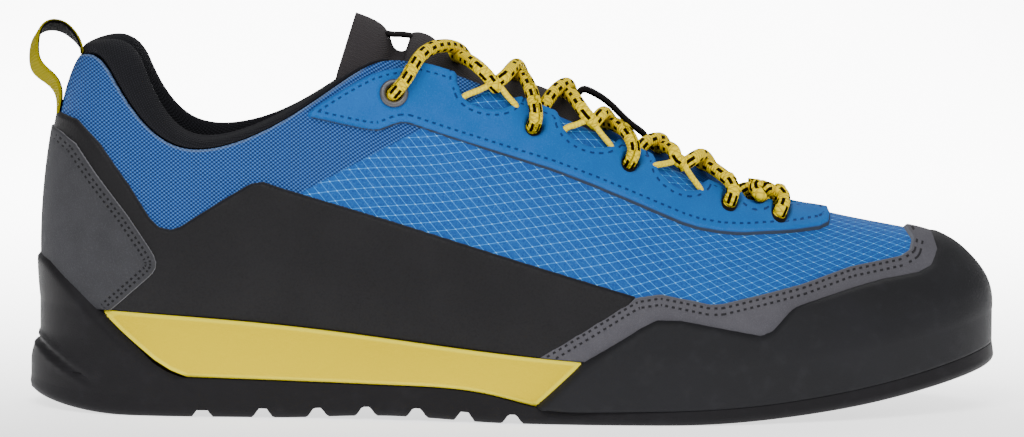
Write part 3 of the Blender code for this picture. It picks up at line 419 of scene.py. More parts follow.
def crease_depth(creases, points):
    """How far soft creases push a surface in at points seen from the side."""
    depth = np.zeros(points.shape[:-1])
    for c in creases:
        start, run = np.array([c.x0, c.z0]), np.array([c.x1 - c.x0, c.z1 - c.z0])
        off = points[..., [0, 2]] - start
        share = np.clip(off @ run / (run @ run), 0, 1)
        miss = np.linalg.norm(off - share[..., None] * run, axis=-1)
        fade = np.sin(math.pi * np.clip(share, CREASE_END, 1.0 - CREASE_END)) ** CREASE_FADE
        ridge = RIDGE_SHARE * np.exp(-((miss - RIDGE_AWAY * c.width) / c.width) ** 2)
        depth += c.depth * fade * (np.exp(-(miss / c.width) ** 2) - ridge)
    return depth


def lifted(surface, place, height, offset, creases=CREASES):
    """Point at a distance outside a surface, with its creases."""
    place, height = np.asarray(place, float), np.asarray(height, float)
    point = surface(place, height)
    offset = offset - crease_depth(creases, point)
    return point + surface_normal(surface, place, height) * offset[..., None]


def locate(side, x, z):
    """Place and height of the point of the upper seen from the side at x and z."""
    places = place_of(side, np.linspace(0.5, LAST_STATION - 1.0, SEARCH_COLUMNS))
    p, h = np.meshgrid(places, np.linspace(0.0, 1.0, SEARCH_ROWS), indexing="ij")
    points = body(p, h)
    miss = np.hypot(points[..., 0] - x, points[..., 2] - z)
    best = np.unravel_index(np.argmin(miss), miss.shape)
    return p[best], h[best]


def side_point(side, spot, lift):
    place, height = locate(side, spot.x, spot.z)
    return lifted(body, place, height, lift)


def throat_point(side, x, lift, turn=0.5):
    """Point beside the throat edge at x; turn 0 is across the edge and 1 is straight up."""
    places = place_of(side, np.linspace(THROAT_TOP - 1.0, THROAT_FRONT - 0.1, EDGE_SAMPLES))
    edge = rib(places).top
    nearest = np.argmin(np.abs(edge[:, 0] - x))
    out = surface_normal(body, places[nearest], np.array(0.985))
    return edge[nearest] + unit((1.0 - turn) * out + turn * UP) * lift


# Meshes
def new_piece(name, bm, node, slot, *materials):
    """Makes the object of a finished mesh, which stands for a CAD node."""
    mesh = bpy.data.meshes.new(name)
    bm.to_mesh(mesh)
    bm.free()
    if "u" in mesh.attributes:
        corners = np.zeros(len(mesh.loops), np.int32)
        mesh.loops.foreach_get("vertex_index", corners)
        flat = np.zeros((2, len(mesh.vertices)), np.float32)
        mesh.attributes["u"].data.foreach_get("value", flat[0])
        mesh.attributes["v"].data.foreach_get("value", flat[1])
        uv = mesh.uv_layers.new(name="UVMap")
        uv.data.foreach_set("uv", np.ascontiguousarray(flat[:, corners].T).ravel())
    mesh.polygons.foreach_set("use_smooth", [True] * len(mesh.polygons))
    item = bpy.data.objects.new(name, mesh)
    bpy.context.scene.collection.objects.link(item)
    for material in materials:
        mesh.materials.append(material)
    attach(item, "root")
    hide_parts(node)
    return item


def mapped_grid(points, closed_columns=False, closed_rows=False, values=None, keep=None):
    """Grid whose corners are moved to points, with named numbers on its corners."""
    count, rows = points.shape[:2]
    across = count if closed_columns else count - 1
    up = rows if closed_rows else rows - 1
    bm = bmesh.new()
    layers = {key: bm.verts.layers.float.new(key) for key in (values or {})}
    bmesh.ops.create_grid(bm, x_segments=across, y_segments=up, size=0.5)
    dropped = []
    for vert in bm.verts:
        i = round((vert.co.x + 0.5) * across) % count
        j = round((vert.co.y + 0.5) * up) % rows
        vert.co = Vector(points[i, j]) * MM
        for key, layer in layers.items():
            vert[layer] = values[key][i, j]
        if keep is not None and not keep[i, j]:
            dropped.append(vert)
    if dropped:
        bmesh.ops.delete(bm, geom=dropped, context="VERTS")
    bmesh.ops.remove_doubles(bm, verts=bm.verts, dist=WELD)
    return bm


def close_solid(bm):
    """Merges the poles, fills the ends and turns the faces out."""
    bmesh.ops.dissolve_degenerate(bm, edges=bm.edges, dist=SLIVER)
    rim = [edge for edge in bm.edges if edge.is_boundary]
    if rim:
        bmesh.ops.holes_fill(bm, edges=rim, sides=0)
    bmesh.ops.recalc_face_normals(bm, faces=bm.faces)
    if bm.calc_volume(signed=True) < 0.0:
        bmesh.ops.reverse_faces(bm, faces=bm.faces)
    return bm


def add_thickness(item, thickness, inner_material=0):
    step = item.modifiers.new("Thickness", "SOLIDIFY")
    step.thickness = thickness * MM
    step.offset = -1.0
    step.material_offset = inner_material
    step.material_offset_rim = 0


def lengths(points, axis):
    """Running length along an axis of a grid of points."""
    steps = np.linalg.norm(np.diff(points, axis=axis), axis=-1)
    start = np.zeros_like(np.take(steps, [0], axis=axis))
    return np.concatenate([start, np.cumsum(steps, axis=axis)], axis=axis)


def even_stations(first, last, cell):
    """Stations about one cell apart on the outer foot line."""
    start, end = place_of(OUTER, first), place_of(OUTER, last)
    places = np.linspace(start, end, max(2, round(float(end - start) / cell) + 1))
    return np.interp(places, LOOP_KNOTS[:LAST_STATION + 1], np.arange(LAST_STATION + 1))


def round_the_toe(first, cell):
    """Columns from a station on the outer side round the toe to the same one on the inner side."""
    stations = even_stations(first, LAST_STATION, cell)
    return np.concatenate([place_of(OUTER, stations), place_of(INNER, stations[-2::-1])])


def round_the_heel(last, cell):
    """Columns from a station on the inner side round the heel to the same one on the outer side."""
    stations = even_stations(0.0, last, cell)
    inner = place_of(INNER, stations[:0:-1]) - LOOP_END
    return np.concatenate([inner, place_of(OUTER, stations)])


def line_distance(line, points):
    """Distance to a side-view line, and the running length at its nearest point."""
    line = np.array(line, float)
    best = np.full(points.shape[:-1], np.inf)
    along = np.zeros(points.shape[:-1])
    run_length = 0.0
    for start, end in zip(line, line[1:]):
        run = end - start
        size = np.linalg.norm(run)
        share = np.clip((points - start) @ run / (size * size), 0, 1)
        miss = np.linalg.norm(points - (start + share[..., None] * run), axis=-1)
        closer = miss < best
        best = np.where(closer, miss, best)
        along = np.where(closer, run_length + share * size, along)
        run_length += size
    return best, along


def inside(outline, points):
    """Whether points of the side view lie in a closed outline."""
    outline = np.array(outline, float)
    x, z = points[..., 0], points[..., 1]
    odd = np.zeros(x.shape, bool)
    for (x0, z0), (x1, z1) in zip(outline, np.roll(outline, -1, axis=0)):
        if z0 != z1:
            crosses = (z0 > z) != (z1 > z)
            odd ^= crosses & (x < x0 + (z - z0) / (z1 - z0) * (x1 - x0))
    return odd


def depth_in(outline, points):
    """Distance of points to a closed outline of the side view, negative outside it."""
    miss, _ = line_distance([*outline, outline[0]], points)
    return np.where(inside(outline, points), miss, -miss)


def full_thickness(seen):
    return np.ones(seen.shape[:-1])


def thin_over_toe(seen):
    """Share of the rand's thickness at points of the side view: it thins out over the toe."""
    x, z = seen[..., 0], seen[..., 1]
    return 1.0 - THINNING * smooth((z - THIN_Z) / THIN_Z_RANGE) * smooth((x - THIN_X) / THIN_X_RANGE)


Panel = namedtuple(
    "Panel", "outline thick soft surface holes creases seams taper",
    defaults=(body, (), CREASES, (), full_thickness))


def cut_panel(panel, places, heights):
    """Grid of a panel: its face stands proud of the last, and its rim sinks into it along the outline."""
    p, h = np.meshgrid(places, heights, indexing="ij")
    seen = panel.surface(p, h)[..., [0, 2]]
    edge = signed = depth_in(panel.outline, seen)
    for centre in panel.holes:
        signed = np.minimum(signed, np.linalg.norm(seen - np.array(centre), axis=-1) - HOLE_RADIUS)
    proud = (panel.thick + GAP) * panel.taper(seen)
    face = 1.0 - np.clip(signed / panel.soft, 0, 1)
    sunk = np.clip(signed * 2 * proud / panel.soft, -RIM_DEPTH, 0)
    points = lifted(panel.surface, p, h, proud * (1.0 - face * face) + sunk, panel.creases)
    up = lengths(points, 1)
    values = {"edge": edge, "u": seen[..., 0], "v": up, "brim": up[:, -1:] - up}
    for i, line in enumerate(panel.seams):
        miss, along = line_distance(line, seen)
        beyond = (along <= 0.0) | (along >= along.max())
        values[f"seam{i}"], values[f"run{i}"] = np.where(beyond, FAR, miss), along
    return points, signed > -RIM_WIDTH, {key: value * MM for key, value in values.items()}


def join_ridge(points, places):
    """Makes the top row of the two sides meet where the throat is closed."""
    count = len(places)
    station = station_at(places % LOOP_END)
    for i in range(count // 2):
        if station[i] >= RIDGE_FROM:
            middle = (points[i, -1] + points[count - 1 - i, -1]) / 2
            points[i, -1] = points[count - 1 - i, -1] = middle


def build_panel(name, panel, places, heights, node, slot, material):
    """Makes a panel over columns and rows of the last."""
    points, keep, values = cut_panel(panel, places, heights)
    if places[0] < TOE_PLACE < places[-1]:
        join_ridge(points, places)
    bm = mapped_grid(points, values=values, keep=keep)
    loose = [vert for vert in bm.verts if not vert.link_faces]
    bmesh.ops.delete(bm, geom=loose, context="VERTS")
    add_thickness(new_piece(name, bm, node, slot, material), min(panel.thick, SKIN))


def tube(path, radius, sides, cell):
    """Closed round cord along a smooth path; u is its length and v goes round it."""
    path = np.array(path, float)
    knots = running(np.linalg.norm(np.diff(path, axis=0), axis=1) ** 0.5)
    fine = spline(knots, path)(np.linspace(0.0, knots[-1], PATH_SAMPLES * len(path)))
    length = lengths(fine, 0)
    count = int(length[-1] / cell)
    where = np.linspace(0.0, length[-1], count)
    line = np.stack([np.interp(where, length, column) for column in fine.T], axis=1)
    run = unit(np.gradient(line, axis=0))
    normal = np.cross(run[0], UP)
    if np.linalg.norm(normal) < 0.1:
        normal = np.cross(run[0], [1.0, 0.0, 0.0])
    rings = []
    turn = np.linspace(0.0, 2 * math.pi, sides + 1)
    for here, along in zip(line, run):
        normal = unit(normal - along * (normal @ along))
        other = np.cross(along, normal)
        rings.append(here + radius * (np.cos(turn)[:, None] * normal + np.sin(turn)[:, None] * other))
    points = np.array(rings)
    u = np.repeat(lengths(line[:, None], 0), sides + 1, axis=1)
    v = np.repeat((turn / (2 * math.pi))[None], count, axis=0)
    return close_solid(mapped_grid(points, values={"u": u * MM, "v": v * MM}))


def merge_meshes(parts):
    """One mesh of several."""
    whole = bmesh.new()
    for bm in parts:
        mesh = bpy.data.meshes.new("part")
        bm.to_mesh(mesh)
        bm.free()
        whole.from_mesh(mesh)
        bpy.data.meshes.remove(mesh)
    return whole


def ribbon(path, width, thickness, samples, lean=(0.0, 0.0)):
    """Flat webbing across Y whose middle follows a side-view path; it leans between its two ends."""
    points = np.array(path, float)
    knots = running(np.linalg.norm(np.diff(points, axis=0), axis=1))
    where = np.linspace(0.0, knots[-1], samples)
    line = spline(knots, points)(where)
    run = unit(np.gradient(line, axis=0))
    swing = np.sin(np.linspace(0.0, math.pi, samples)).clip(0) ** LEAN_RISE
    tip_x, tip_z = swing * np.array(lean)[:, None] * width / 2
    share = np.linspace(-1.0, 1.0, TAPE_COLUMNS)
    edge = (np.abs(share) - TAPE_FLAT).clip(0) ** 2 / TAPE_ROUND
    half = thickness / 2 * np.sqrt(np.clip(1.0 - edge, 0.0, 1.0))
    ring_share = np.concatenate([share, share[::-1]])
    ring_half = np.concatenate([half, -half])
    x = line[:, :1] - run[:, 1:] * ring_half + tip_x[:, None] * ring_share
    z = line[:, 1:] + run[:, :1] * ring_half + tip_z[:, None] * ring_share
    y = np.repeat(ring_share[None] * width / 2, samples, axis=0)
    u = np.repeat(where[:, None], len(ring_share), axis=1)
    values = {"u": u * MM, "v": y * MM, "face": np.sign(np.repeat(ring_half[None], samples, axis=0))}
    return close_solid(mapped_grid(np.stack([x, y, z], axis=-1), closed_rows=True, values=values))


# Materials: patterns are written as formulas of signals
def srgb(red, green, blue):
    """Linear colour of a screen colour given from 0 to 255."""
    return tuple((c / 255) ** 2.2 for c in (red, green, blue)) + (1.0,)


def shade(colour, *change):
    """A screen colour that is lighter or darker by a change of each channel."""
    return srgb(*(value + step for value, step in zip(colour, change)))


class Signal:
    """A number that varies over a material."""

    def __init__(self, tree, socket):
        self.tree, self.socket = tree, socket

    def math(self, operation, *others):
        node = self.tree.nodes.new("ShaderNodeMath")
        node.operation = operation
        for slot, value in zip(node.inputs, (self, *others)):
            if isinstance(value, Signal):
                self.tree.links.new(value.socket, slot)
            else:
                slot.default_value = value
        return Signal(self.tree, node.outputs[0])

    def __add__(self, other):
        return self.math("ADD", other)

    def __sub__(self, other):
        return self.math("SUBTRACT", other)

    def __mul__(self, other):
        return self.math("MULTIPLY", other)

    def wave(self, pitch):
        return (self * (2 * math.pi / pitch)).math("COSINE")

    def rise(self, low, high):
        """0 below low and 1 above high, or the reverse when low is the larger."""
        node = self.tree.nodes.new("ShaderNodeMapRange")
        node.interpolation_type = "SMOOTHSTEP"
        backward = low > high
        self.tree.links.new(self.socket, node.inputs["Value"])
        node.inputs["From Min"].default_value = min(low, high)
        node.inputs["From Max"].default_value = max(low, high)
        node.inputs["To Min"].default_value = 1.0 if backward else 0.0
        node.inputs["To Max"].default_value = 0.0 if backward else 1.0
        return Signal(self.tree, node.outputs["Result"])

    def lines(self, pitch, width):
        """1 on thin lines that repeat at a pitch."""
        share = (self * (1.0 / pitch) + 0.5).math("FRACT")
        miss = (share - 0.5).math("ABSOLUTE") * pitch
        return miss.rise(0.75 * width, 0.35 * width)

    def row(self, at, width):
        """1 on one line where the signal has a value."""
        return (self - at).math("ABSOLUTE").rise(0.7 * width, 0.3 * width)


class Look:
    """A material with signals to read and a Principled shader to feed."""

    def __init__(self, name, rough, specular):
        self.material = bpy.data.materials.new(name)
        self.material.use_nodes = True
        self.tree = self.material.node_tree
        self.shader = self.tree.nodes["Principled BSDF"]
        self.set_socket("Roughness", rough)
        self.set_socket("Specular IOR Level", specular)

    def set_socket(self, socket, value):
        self.shader.inputs[socket].default_value = value

    def read(self, name):
        node = self.tree.nodes.new("ShaderNodeAttribute")
        node.attribute_name = name
        return Signal(self.tree, node.outputs["Fac"])

    def position(self):
        where = self.tree.nodes.new("ShaderNodeTexCoord")
        split = self.tree.nodes.new("ShaderNodeSeparateXYZ")
        self.tree.links.new(where.outputs["Object"], split.inputs[0])
        return [Signal(self.tree, out) for out in split.outputs]

    def noise(self, size, detail=3.0):
        """Noise from 0 to 1 whose grains are about a size in metres."""
        where = self.tree.nodes.new("ShaderNodeTexCoord")
        node = self.tree.nodes.new("ShaderNodeTexNoise")
        node.inputs["Scale"].default_value = 1.0 / size
        node.inputs["Detail"].default_value = detail
        self.tree.links.new(where.outputs["Object"], node.inputs["Vector"])
        return Signal(self.tree, node.outputs["Fac"])

    def cells(self, a, b):
        """Random number from 0 to 1 for each unit square of two signals."""
        join = self.tree.nodes.new("ShaderNodeCombineXYZ")
        for slot, signal in zip(join.inputs, (a.math("FLOOR"), b.math("FLOOR"))):
            self.tree.links.new(signal.socket, slot)
        node = self.tree.nodes.new("ShaderNodeTexWhiteNoise")
        node.noise_dimensions = "2D"
        self.tree.links.new(join.outputs[0], node.inputs["Vector"])
        return Signal(self.tree, node.outputs["Value"])

    def paint(self, base, *layers):
        """Base colour with layers of (signal, colour) over it."""
        below = base
        for signal, colour in layers:
            mix = self.tree.nodes.new("ShaderNodeMix")
            mix.data_type = "RGBA"
            self.tree.links.new(signal.socket, mix.inputs["Factor"])
            for slot, value in ((mix.inputs[6], below), (mix.inputs[7], colour)):
                if isinstance(value, tuple):
                    slot.default_value = value
                else:
                    self.tree.links.new(value, slot)
            below = mix.outputs[2]
        self.tree.links.new(below, self.shader.inputs["Base Color"])
        return self

    def gloss(self, signal):
        self.tree.links.new(signal.socket, self.shader.inputs["Roughness"])
        return self

    def relief(self, height):
        """Bump whose height is in millimetres."""
        bump = self.tree.nodes.new("ShaderNodeBump")
        bump.inputs["Distance"].default_value = MM
        self.tree.links.new(height.socket, bump.inputs["Height"])
        self.tree.links.new(bump.outputs[0], self.shader.inputs["Normal"])
        return self

    def stitches(self, seam, distance, pitch, width):
        """1 on a row of stitches at a distance from a panel's seam line."""
        dashes = self.read(f"run{seam}").wave(pitch).rise(0.0, 0.5)
        return self.read(f"seam{seam}").row(distance, width) * dashes


def upper_fabric():
    """Blue: a fine diamond mesh at the rear and ripstop with a pale grid in front of it."""
    look = Look("blue_fabric", rough=0.78, specular=0.22)
    u, v = look.read("u"), look.read("v")
    x, _, z = look.position()
    front = (x * 0.539 - z).rise(-105.0 * MM, -104.0 * MM)
    rear = front * -1.0 + 1.0
    knots = u.wave(1.4 * MM) * v.wave(1.2 * MM)
    # The mesh's openings are painted dark blue: painted shade in the holes.
    holes = knots.rise(0.0, -0.8) * rear
    glints = knots.rise(0.1, 0.8) * rear
    rise = (v - 45 * MM) * (x.rise(20 * MM, 115 * MM) * 0.5 + 1.0)
    warp = (rise - u * 0.26).lines(3.1 * MM, 0.3 * MM)
    weft = (rise + u * 1.1).lines(3.8 * MM, 0.42 * MM)
    thread = warp.math("MAXIMUM", weft) * front
    crossing = warp * weft * front
    speckle = look.noise(0.55 * MM, 1.0)
    patch = look.noise(24 * MM).rise(0.35, 0.75)
    brim = look.read("brim").rise(1.0 * MM, 0.5 * MM) * x.rise(-44 * MM, -48 * MM)
    # Near-black painted shade on the fabric under each punched lace hole.
    punch = look.read("punch").rise(2.9 * MM, 2.5 * MM)
    look.paint(
        srgb(28, 72, 136), (front, srgb(26, 80, 150)), (patch * 0.35, srgb(20, 66, 132)),
        (speckle.rise(0.5, 0.75) * front * 0.6, srgb(6, 50, 112)),
        (speckle.rise(0.45, 0.25) * front * 0.4, srgb(56, 112, 176)), (holes * 0.85, srgb(8, 30, 70)),
        (glints * 0.5, srgb(92, 138, 190)), (thread * 0.6, srgb(58, 146, 232)),
        (crossing * 0.8, srgb(140, 206, 255)), (brim * 0.35, srgb(120, 136, 156)),
        (punch, srgb(6, 8, 12)))
    return look.relief(holes * -0.25 + thread * 0.1 + speckle * front * 0.06).material


def lining_fabric():
    look = Look("dark_lining", rough=0.92, specular=0.15)
    x, y, z = look.position()
    rows = (x + z * 0.5).wave(1.6 * MM) * (y + z).wave(1.6 * MM)
    look.paint(srgb(20, 20, 22), (rows.rise(0.2, 0.8) * 0.6, srgb(8, 8, 9)))
    return look.relief(rows * 0.12).material


def film_black():
    """Thin black film with a faint pebbled face and a paler cut edge."""
    look = Look("black_film", rough=0.6, specular=0.22)
    grain = look.noise(0.6 * MM, 2.0)
    cloud = look.noise(18 * MM)
    cut = look.read("edge").rise(0.5 * MM, 0.1 * MM)
    look.paint(srgb(23, 22, 24), (cloud.rise(0.3, 0.8) * 0.5, srgb(30, 29, 31)), (cut, srgb(46, 46, 49)))
    look.gloss(grain.rise(0.2, 0.9) * 0.25 + 0.5)
    return look.relief(grain * 0.08).material


def suede_grey(name, colour, distances, pitch, edge_colour):
    """Grey napped overlay with stitch rows beside its upper edge."""
    look = Look(name, rough=0.88, specular=0.2)
    grain = look.noise(0.45 * MM, 4.0)
    nap = look.noise(7 * MM)
    edge = look.read("edge")
    first, second = (look.stitches(0, distance, pitch, 0.58 * MM) for distance in distances)
    sewn = first.math("MAXIMUM", second)
    dip = look.read("seam0").row(sum(distances) / 2, 3.2 * MM)
    look.paint(
        srgb(*colour), (nap.rise(0.3, 0.75) * 0.5, shade(colour, -9, -9, -9)),
        (grain.rise(0.45, 0.8) * 0.35, shade(colour, 20, 20, 21)),
        (edge.rise(0.7 * MM, 0.3 * MM), edge_colour), (sewn * 0.8, srgb(14, 14, 16)))
    return look.relief(grain * 0.16 - sewn * 0.4 - dip * 0.2).material


def nubuck_blue():
    """Blue napped eyestay with a grey cut edge below, and stitches beside its edges."""
    look = Look("blue_nubuck", rough=0.86, specular=0.2)
    grain = look.noise(0.4 * MM, 4.0)
    nap = look.noise(9 * MM)
    u, low, notch, rear = (look.read(name) for name in ("u", "seam0", "seam1", "seam2"))
    low_edge = low.rise(0.5 * MM, 0.25 * MM)
    pitch, width = 2.4 * MM, 0.5 * MM
    throat_row = look.read("brim").row(2.6 * MM, width) * u.wave(pitch).rise(0.0, 0.5)
    throat_row = throat_row * notch.rise(1.8 * MM, 2.4 * MM) * u.rise(-33 * MM, -32 * MM)
    notch_row = look.stitches(1, 2.2 * MM, pitch, width) * low.rise(3.2 * MM, 3.6 * MM)
    rear_row = look.stitches(2, 1.9 * MM, pitch, width) * low.rise(2.2 * MM, 2.6 * MM)
    sewn = look.stitches(0, 2.3 * MM, pitch, width) * rear.rise(1.6 * MM, 2.0 * MM)
    for row in (throat_row, notch_row, rear_row):
        sewn = sewn.math("MAXIMUM", row)
    look.paint(
        srgb(30, 91, 161), (nap.rise(0.3, 0.75) * 0.4, srgb(24, 78, 144)),
        (grain.rise(0.45, 0.85) * 0.4, srgb(36, 118, 190)), (low_edge, srgb(50, 58, 72)),
        (sewn * 0.8, srgb(4, 34, 82)))
    return look.relief(grain * 0.16 - sewn * 0.35).material


def rubber_black(name, colour, rough):
    look = Look(name, rough=rough, specular=0.15)
    grain = look.noise(0.35 * MM, 3.0)
    cloud = look.noise(22 * MM)
    scuff = look.noise(5 * MM, 5.0)
    look.paint(
        srgb(*colour), (cloud.rise(0.35, 0.7) * 0.5, shade(colour, 5, 5, 6)),
        (scuff.rise(0.5, 0.75) * 0.4, shade(colour, 10, 10, 11)))
    look.gloss(cloud * 0.18 + (rough - 0.08))
    return look.relief(grain * 0.1).material


def foam_yellow():
    look = Look("yellow_foam", rough=0.8, specular=0.0)
    grain = look.noise(0.9 * MM, 4.0)
    cloud = look.noise(30 * MM)
    border = look.read("border")
    look.paint(
        srgb(210, 184, 0), (cloud.rise(0.3, 0.8) * 0.3, srgb(200, 170, 0)),
        (grain.rise(0.5, 0.8) * 0.2, srgb(222, 198, 8)),
        # Pale painted highlight along the foam's rounded edges.
        (border.rise(1.5 * MM, 0.6 * MM) * 0.5, srgb(250, 236, 70)),
        # Near-black painted shade in the joints where the foam meets the rubber pieces.
        (border.rise(0.1 * MM, -0.2 * MM), srgb(16, 14, 9)))
    return look.relief(grain * 0.12).material


def collar_knit():
    """Black knit with small ribs that follow the piece."""
    look = Look("collar_knit", rough=0.92, specular=0.15)
    u, v = look.read("u"), look.read("v")
    loops = u.wave(1.3 * MM) * (v + u * 0.5).wave(1.1 * MM)
    look.paint(srgb(28, 28, 31), (loops.rise(0.1, 0.9) * 0.6, srgb(44, 44, 49)))
    return look.relief(loops * 0.14 + look.noise(5 * MM) * 0.25).material


def tongue_knit():
    """Black knit that turns blue where it runs under the lace."""
    look = Look("tongue_knit", rough=0.9, specular=0.15)
    u, v = look.read("u"), look.read("v")
    x, _, _ = look.position()
    blue_part = x.rise(24 * MM, 30 * MM)
    loops = u.wave(1.3 * MM) * (v + u * 0.5).wave(1.2 * MM)
    look.paint(
        srgb(56, 53, 54), (blue_part, srgb(10, 56, 116)), (loops.rise(0.2, 0.9) * 0.4, srgb(66, 64, 66)))
    return look.relief(loops * 0.14 + look.noise(6 * MM) * 0.3).material


def rope_yellow():
    """Round braid: yellow strands with pairs of long black dashes along it."""
    look = Look("lace_rope", rough=0.85, specular=0.05)
    strands = 6
    u, turn = look.read("u") * (1.0 / MM), look.read("v") * (strands / MM)
    pair = (turn * 0.5).math("FLOOR")
    beat = u * 0.2 + pair * 0.36 + turn * 0.06
    dash, side = beat.math("FRACT"), turn.math("FRACT")
    fleck = dash.rise(0.02, 0.06) * dash.rise(0.56, 0.52) * side.rise(0.2, 0.28) * side.rise(0.8, 0.72)
    fleck = fleck * look.cells(beat, turn).rise(0.06, 0.08)
    right, left = u * 0.8 + turn * 0.5, u * 0.8 - turn * 0.5
    strand = ((right * math.pi).math("SINE") * (left * math.pi).math("SINE")).math("ABSOLUTE")
    # The darker yellow between the strands is painted shade in the braid's grooves.
    look.paint(
        srgb(250, 218, 18), (strand.rise(0.35, 0.0) * 0.6, srgb(150, 112, 4)), (fleck, srgb(22, 13, 6)))
    return look.relief(strand * 0.4).material


def cord_yellow():
    look = Look("yellow_cord", rough=0.8, specular=0.1)
    u, turn = look.read("u") * (1.0 / MM), look.read("v") * (1.0 / MM)
    twist = (u * 5.0 + turn * (2 * math.pi)).math("SINE")
    # The darker yellow in the twist's grooves is painted shade.
    look.paint(srgb(255, 226, 40), (twist.rise(0.3, -0.9) * 0.35, srgb(214, 172, 16)))
    return look.relief(twist * 0.1).material


def webbing(name, outside, inside_colour):
    """Flat woven tape with a face and a back."""
    look = Look(name, rough=0.9, specular=0.05)
    u, v, back = look.read("u"), look.read("v"), look.read("face").rise(0.2, -0.2)
    ribs = (u + v * 0.4).wave(0.9 * MM) * v.wave(1.5 * MM)
    look.paint(outside, (back, inside_colour), (ribs.rise(0.2, 1.0) * 0.3, srgb(20, 18, 14)))
    return look.relief(ribs * 0.12).material


def eyelet_metal():
    look = Look("grey_metal", rough=0.45, specular=0.5)
    look.set_socket("Metallic", 0.8)
    look.paint(srgb(92, 92, 94), (look.noise(1.5 * MM).rise(0.4, 0.8) * 0.4, srgb(60, 60, 62)))
    return look.relief(look.noise(0.5 * MM) * 0.04).material


# Pieces of the sole
def beside(side, stations, offset):
    """Foot line of one side moved outwards by an offset."""
    r = rib(place_of(side, stations))
    return r.foot + r.outward * (np.asarray(offset, float) * np.ones(len(stations)))[:, None]


def ring_solid(outer, inner, border=None):
    """Closed solid from two halves, each a grid of stations by rows from its bottom to its top middle."""
    rings = np.concatenate([outer, inner[:, ::-1]], axis=1)
    values = {"u": rings[..., 0] * MM, "v": lengths(rings, 1) * MM}
    if border:
        values["border"] = border(rings) * MM
    return close_solid(mapped_grid(rings, closed_rows=True, values=values))


def flat_rows(middle, edge, shares, height):
    """Rows at shares of the way from the middle line to an edge; their height depends on X."""
    rows = []
    for share in shares:
        points = middle + (edge - middle) * share
        points[:, 2] = height(points[:, 0])
        rows.append(points)
    return rows


def slab_half(side, stations, profile, bottom, top):
    """Half of a slab; profile gives (share of the height, offset from the foot line) up its wall."""
    halves = {s: beside(s, stations, profile[0][1](s)) for s in SIDES}
    middle = (halves[OUTER] + halves[INNER]) / 2
    shares = np.linspace(0.0, 1.0, SLAB_ROWS, endpoint=False)
    rows = flat_rows(middle, halves[side], shares, bottom)
    for height, offset in profile:
        point = beside(side, stations, offset(side))
        low, high = bottom(point[:, 0]), top(point[:, 0])
        point[:, 2] = low + (high - low) * height
        rows.append(point)
    rows += flat_rows(middle, rows[-1], shares[::-1], top)
    return np.stack(rows, axis=1)


def build_midsole():
    stations = even_stations(0.0, LAST_STATION, cell=1.0)

    def wall(share):
        bulge = FOAM_BULGE * math.sin(math.pi * share) - FOAM_ROUND * abs(2 * share - 1) ** 6
        return lambda side: rib(place_of(side, stations)).ledge + bulge

    def bottom(x):
        return outsole_top(x) + GAP

    def top(x):
        return footbed(x) - GAP

    # Distance to the foam's edges and to its joints with the rubber pieces, which carry its painted
    # highlight and painted shade.
    def border(points):
        x, z = points[..., 0], points[..., 2]
        joints = [-depth_in(outline, points[..., [0, 2]]) for outline in (WRAP_OUTLINE, RAND_OUTLINE)]
        return np.min([top(x) - z, z - bottom(x), *joints], axis=0)

    profile = [(share, wall(share)) for share in np.linspace(0.0, 1.0, 20)]
    halves = [slab_half(side, stations, profile, bottom, top) for side in SIDES]
    new_piece("midsole_foam", ring_solid(*halves, border), "midsole", "midsole_foam", foam_yellow())


def build_insole():
    stations = even_stations(0.0, LAST_STATION, cell=2.0)
    inset = -(WALL + 3 * GAP)

    def top(x):
        return footbed(x) + INSOLE_THICK

    profile = [(share, lambda side: inset) for share in (0.0, 0.4, 0.8)]
    profile.append((1.0, lambda side: inset - INSOLE_ROUND))
    halves = [slab_half(side, stations, profile, footbed, top) for side in SIDES]
    new_piece("footbed_liner", ring_solid(*halves), "insole", "insole_fabric", lining_fabric())


def slot_depth(x, y):
    """Depth of the grooves between the lugs, which open towards the floor."""
    depth = np.zeros_like(x)
    for centre in LUG_GROOVES:
        half = WAIST_SLOT
        if centre < WAIST_FROM:
            half = HEEL_SLOT
        elif centre > WAIST_TO:
            half = BALL_SLOT
        across = np.clip((SLOT / 2 + SLOT_SPREAD - np.abs(x - centre)) / SLOT_DRAFT, 0.0, 1.0)
        depth = np.maximum(depth, LUG_DEPTH * across * smooth(half + SLOT_END - np.abs(y)))
    spine = smooth(SLOT + SLOT_END - np.abs(y)) * smooth(x - SPINE_FROM) * smooth(SPINE_TO - x)
    return np.maximum(depth, SPINE_DEPTH * spine)


def build_outsole(rubber):
    stations = even_stations(0.0, LAST_STATION, cell=0.8)
    reach = {side: rib(place_of(side, stations)).sole for side in SIDES}
    low = {side: beside(side, stations, reach[side] - SOLE_ROUND) for side in SIDES}
    middle = (low[OUTER] + low[INNER]) / 2
    halves = []
    for side in SIDES:
        rows = flat_rows(middle, low[side], np.linspace(0.0, 1.0, 44), tread)
        for turn in np.linspace(0.0, math.pi / 2, 5)[1:]:
            point = beside(side, stations, reach[side] - SOLE_ROUND + SOLE_ROUND * math.sin(turn))
            point[:, 2] = tread(point[:, 0]) + SOLE_ROUND - SOLE_ROUND * math.cos(turn)
            rows.append(point)
        for share in np.linspace(0.0, 1.0, 9)[1:]:
            point = beside(side, stations, reach[side] - SOLE_DRAFT * share)
            start = tread(point[:, 0]) + SOLE_ROUND
            point[:, 2] = start + (outsole_top(point[:, 0]) - start) * share
            rows.append(point)
        rows += flat_rows(middle, rows[-1], (0.9, 0.5, 0.0), outsole_top)
        half = np.stack(rows, axis=1)
        floor = tread(half[..., 0]) + slot_depth(half[..., 0], half[..., 1])
        half[..., 2] = np.maximum(half[..., 2], np.minimum(floor, outsole_top(half[..., 0])))
        halves.append(half)
    new_piece("outsole_tread", ring_solid(*halves), "outsole", "outsole_rubber", rubber)


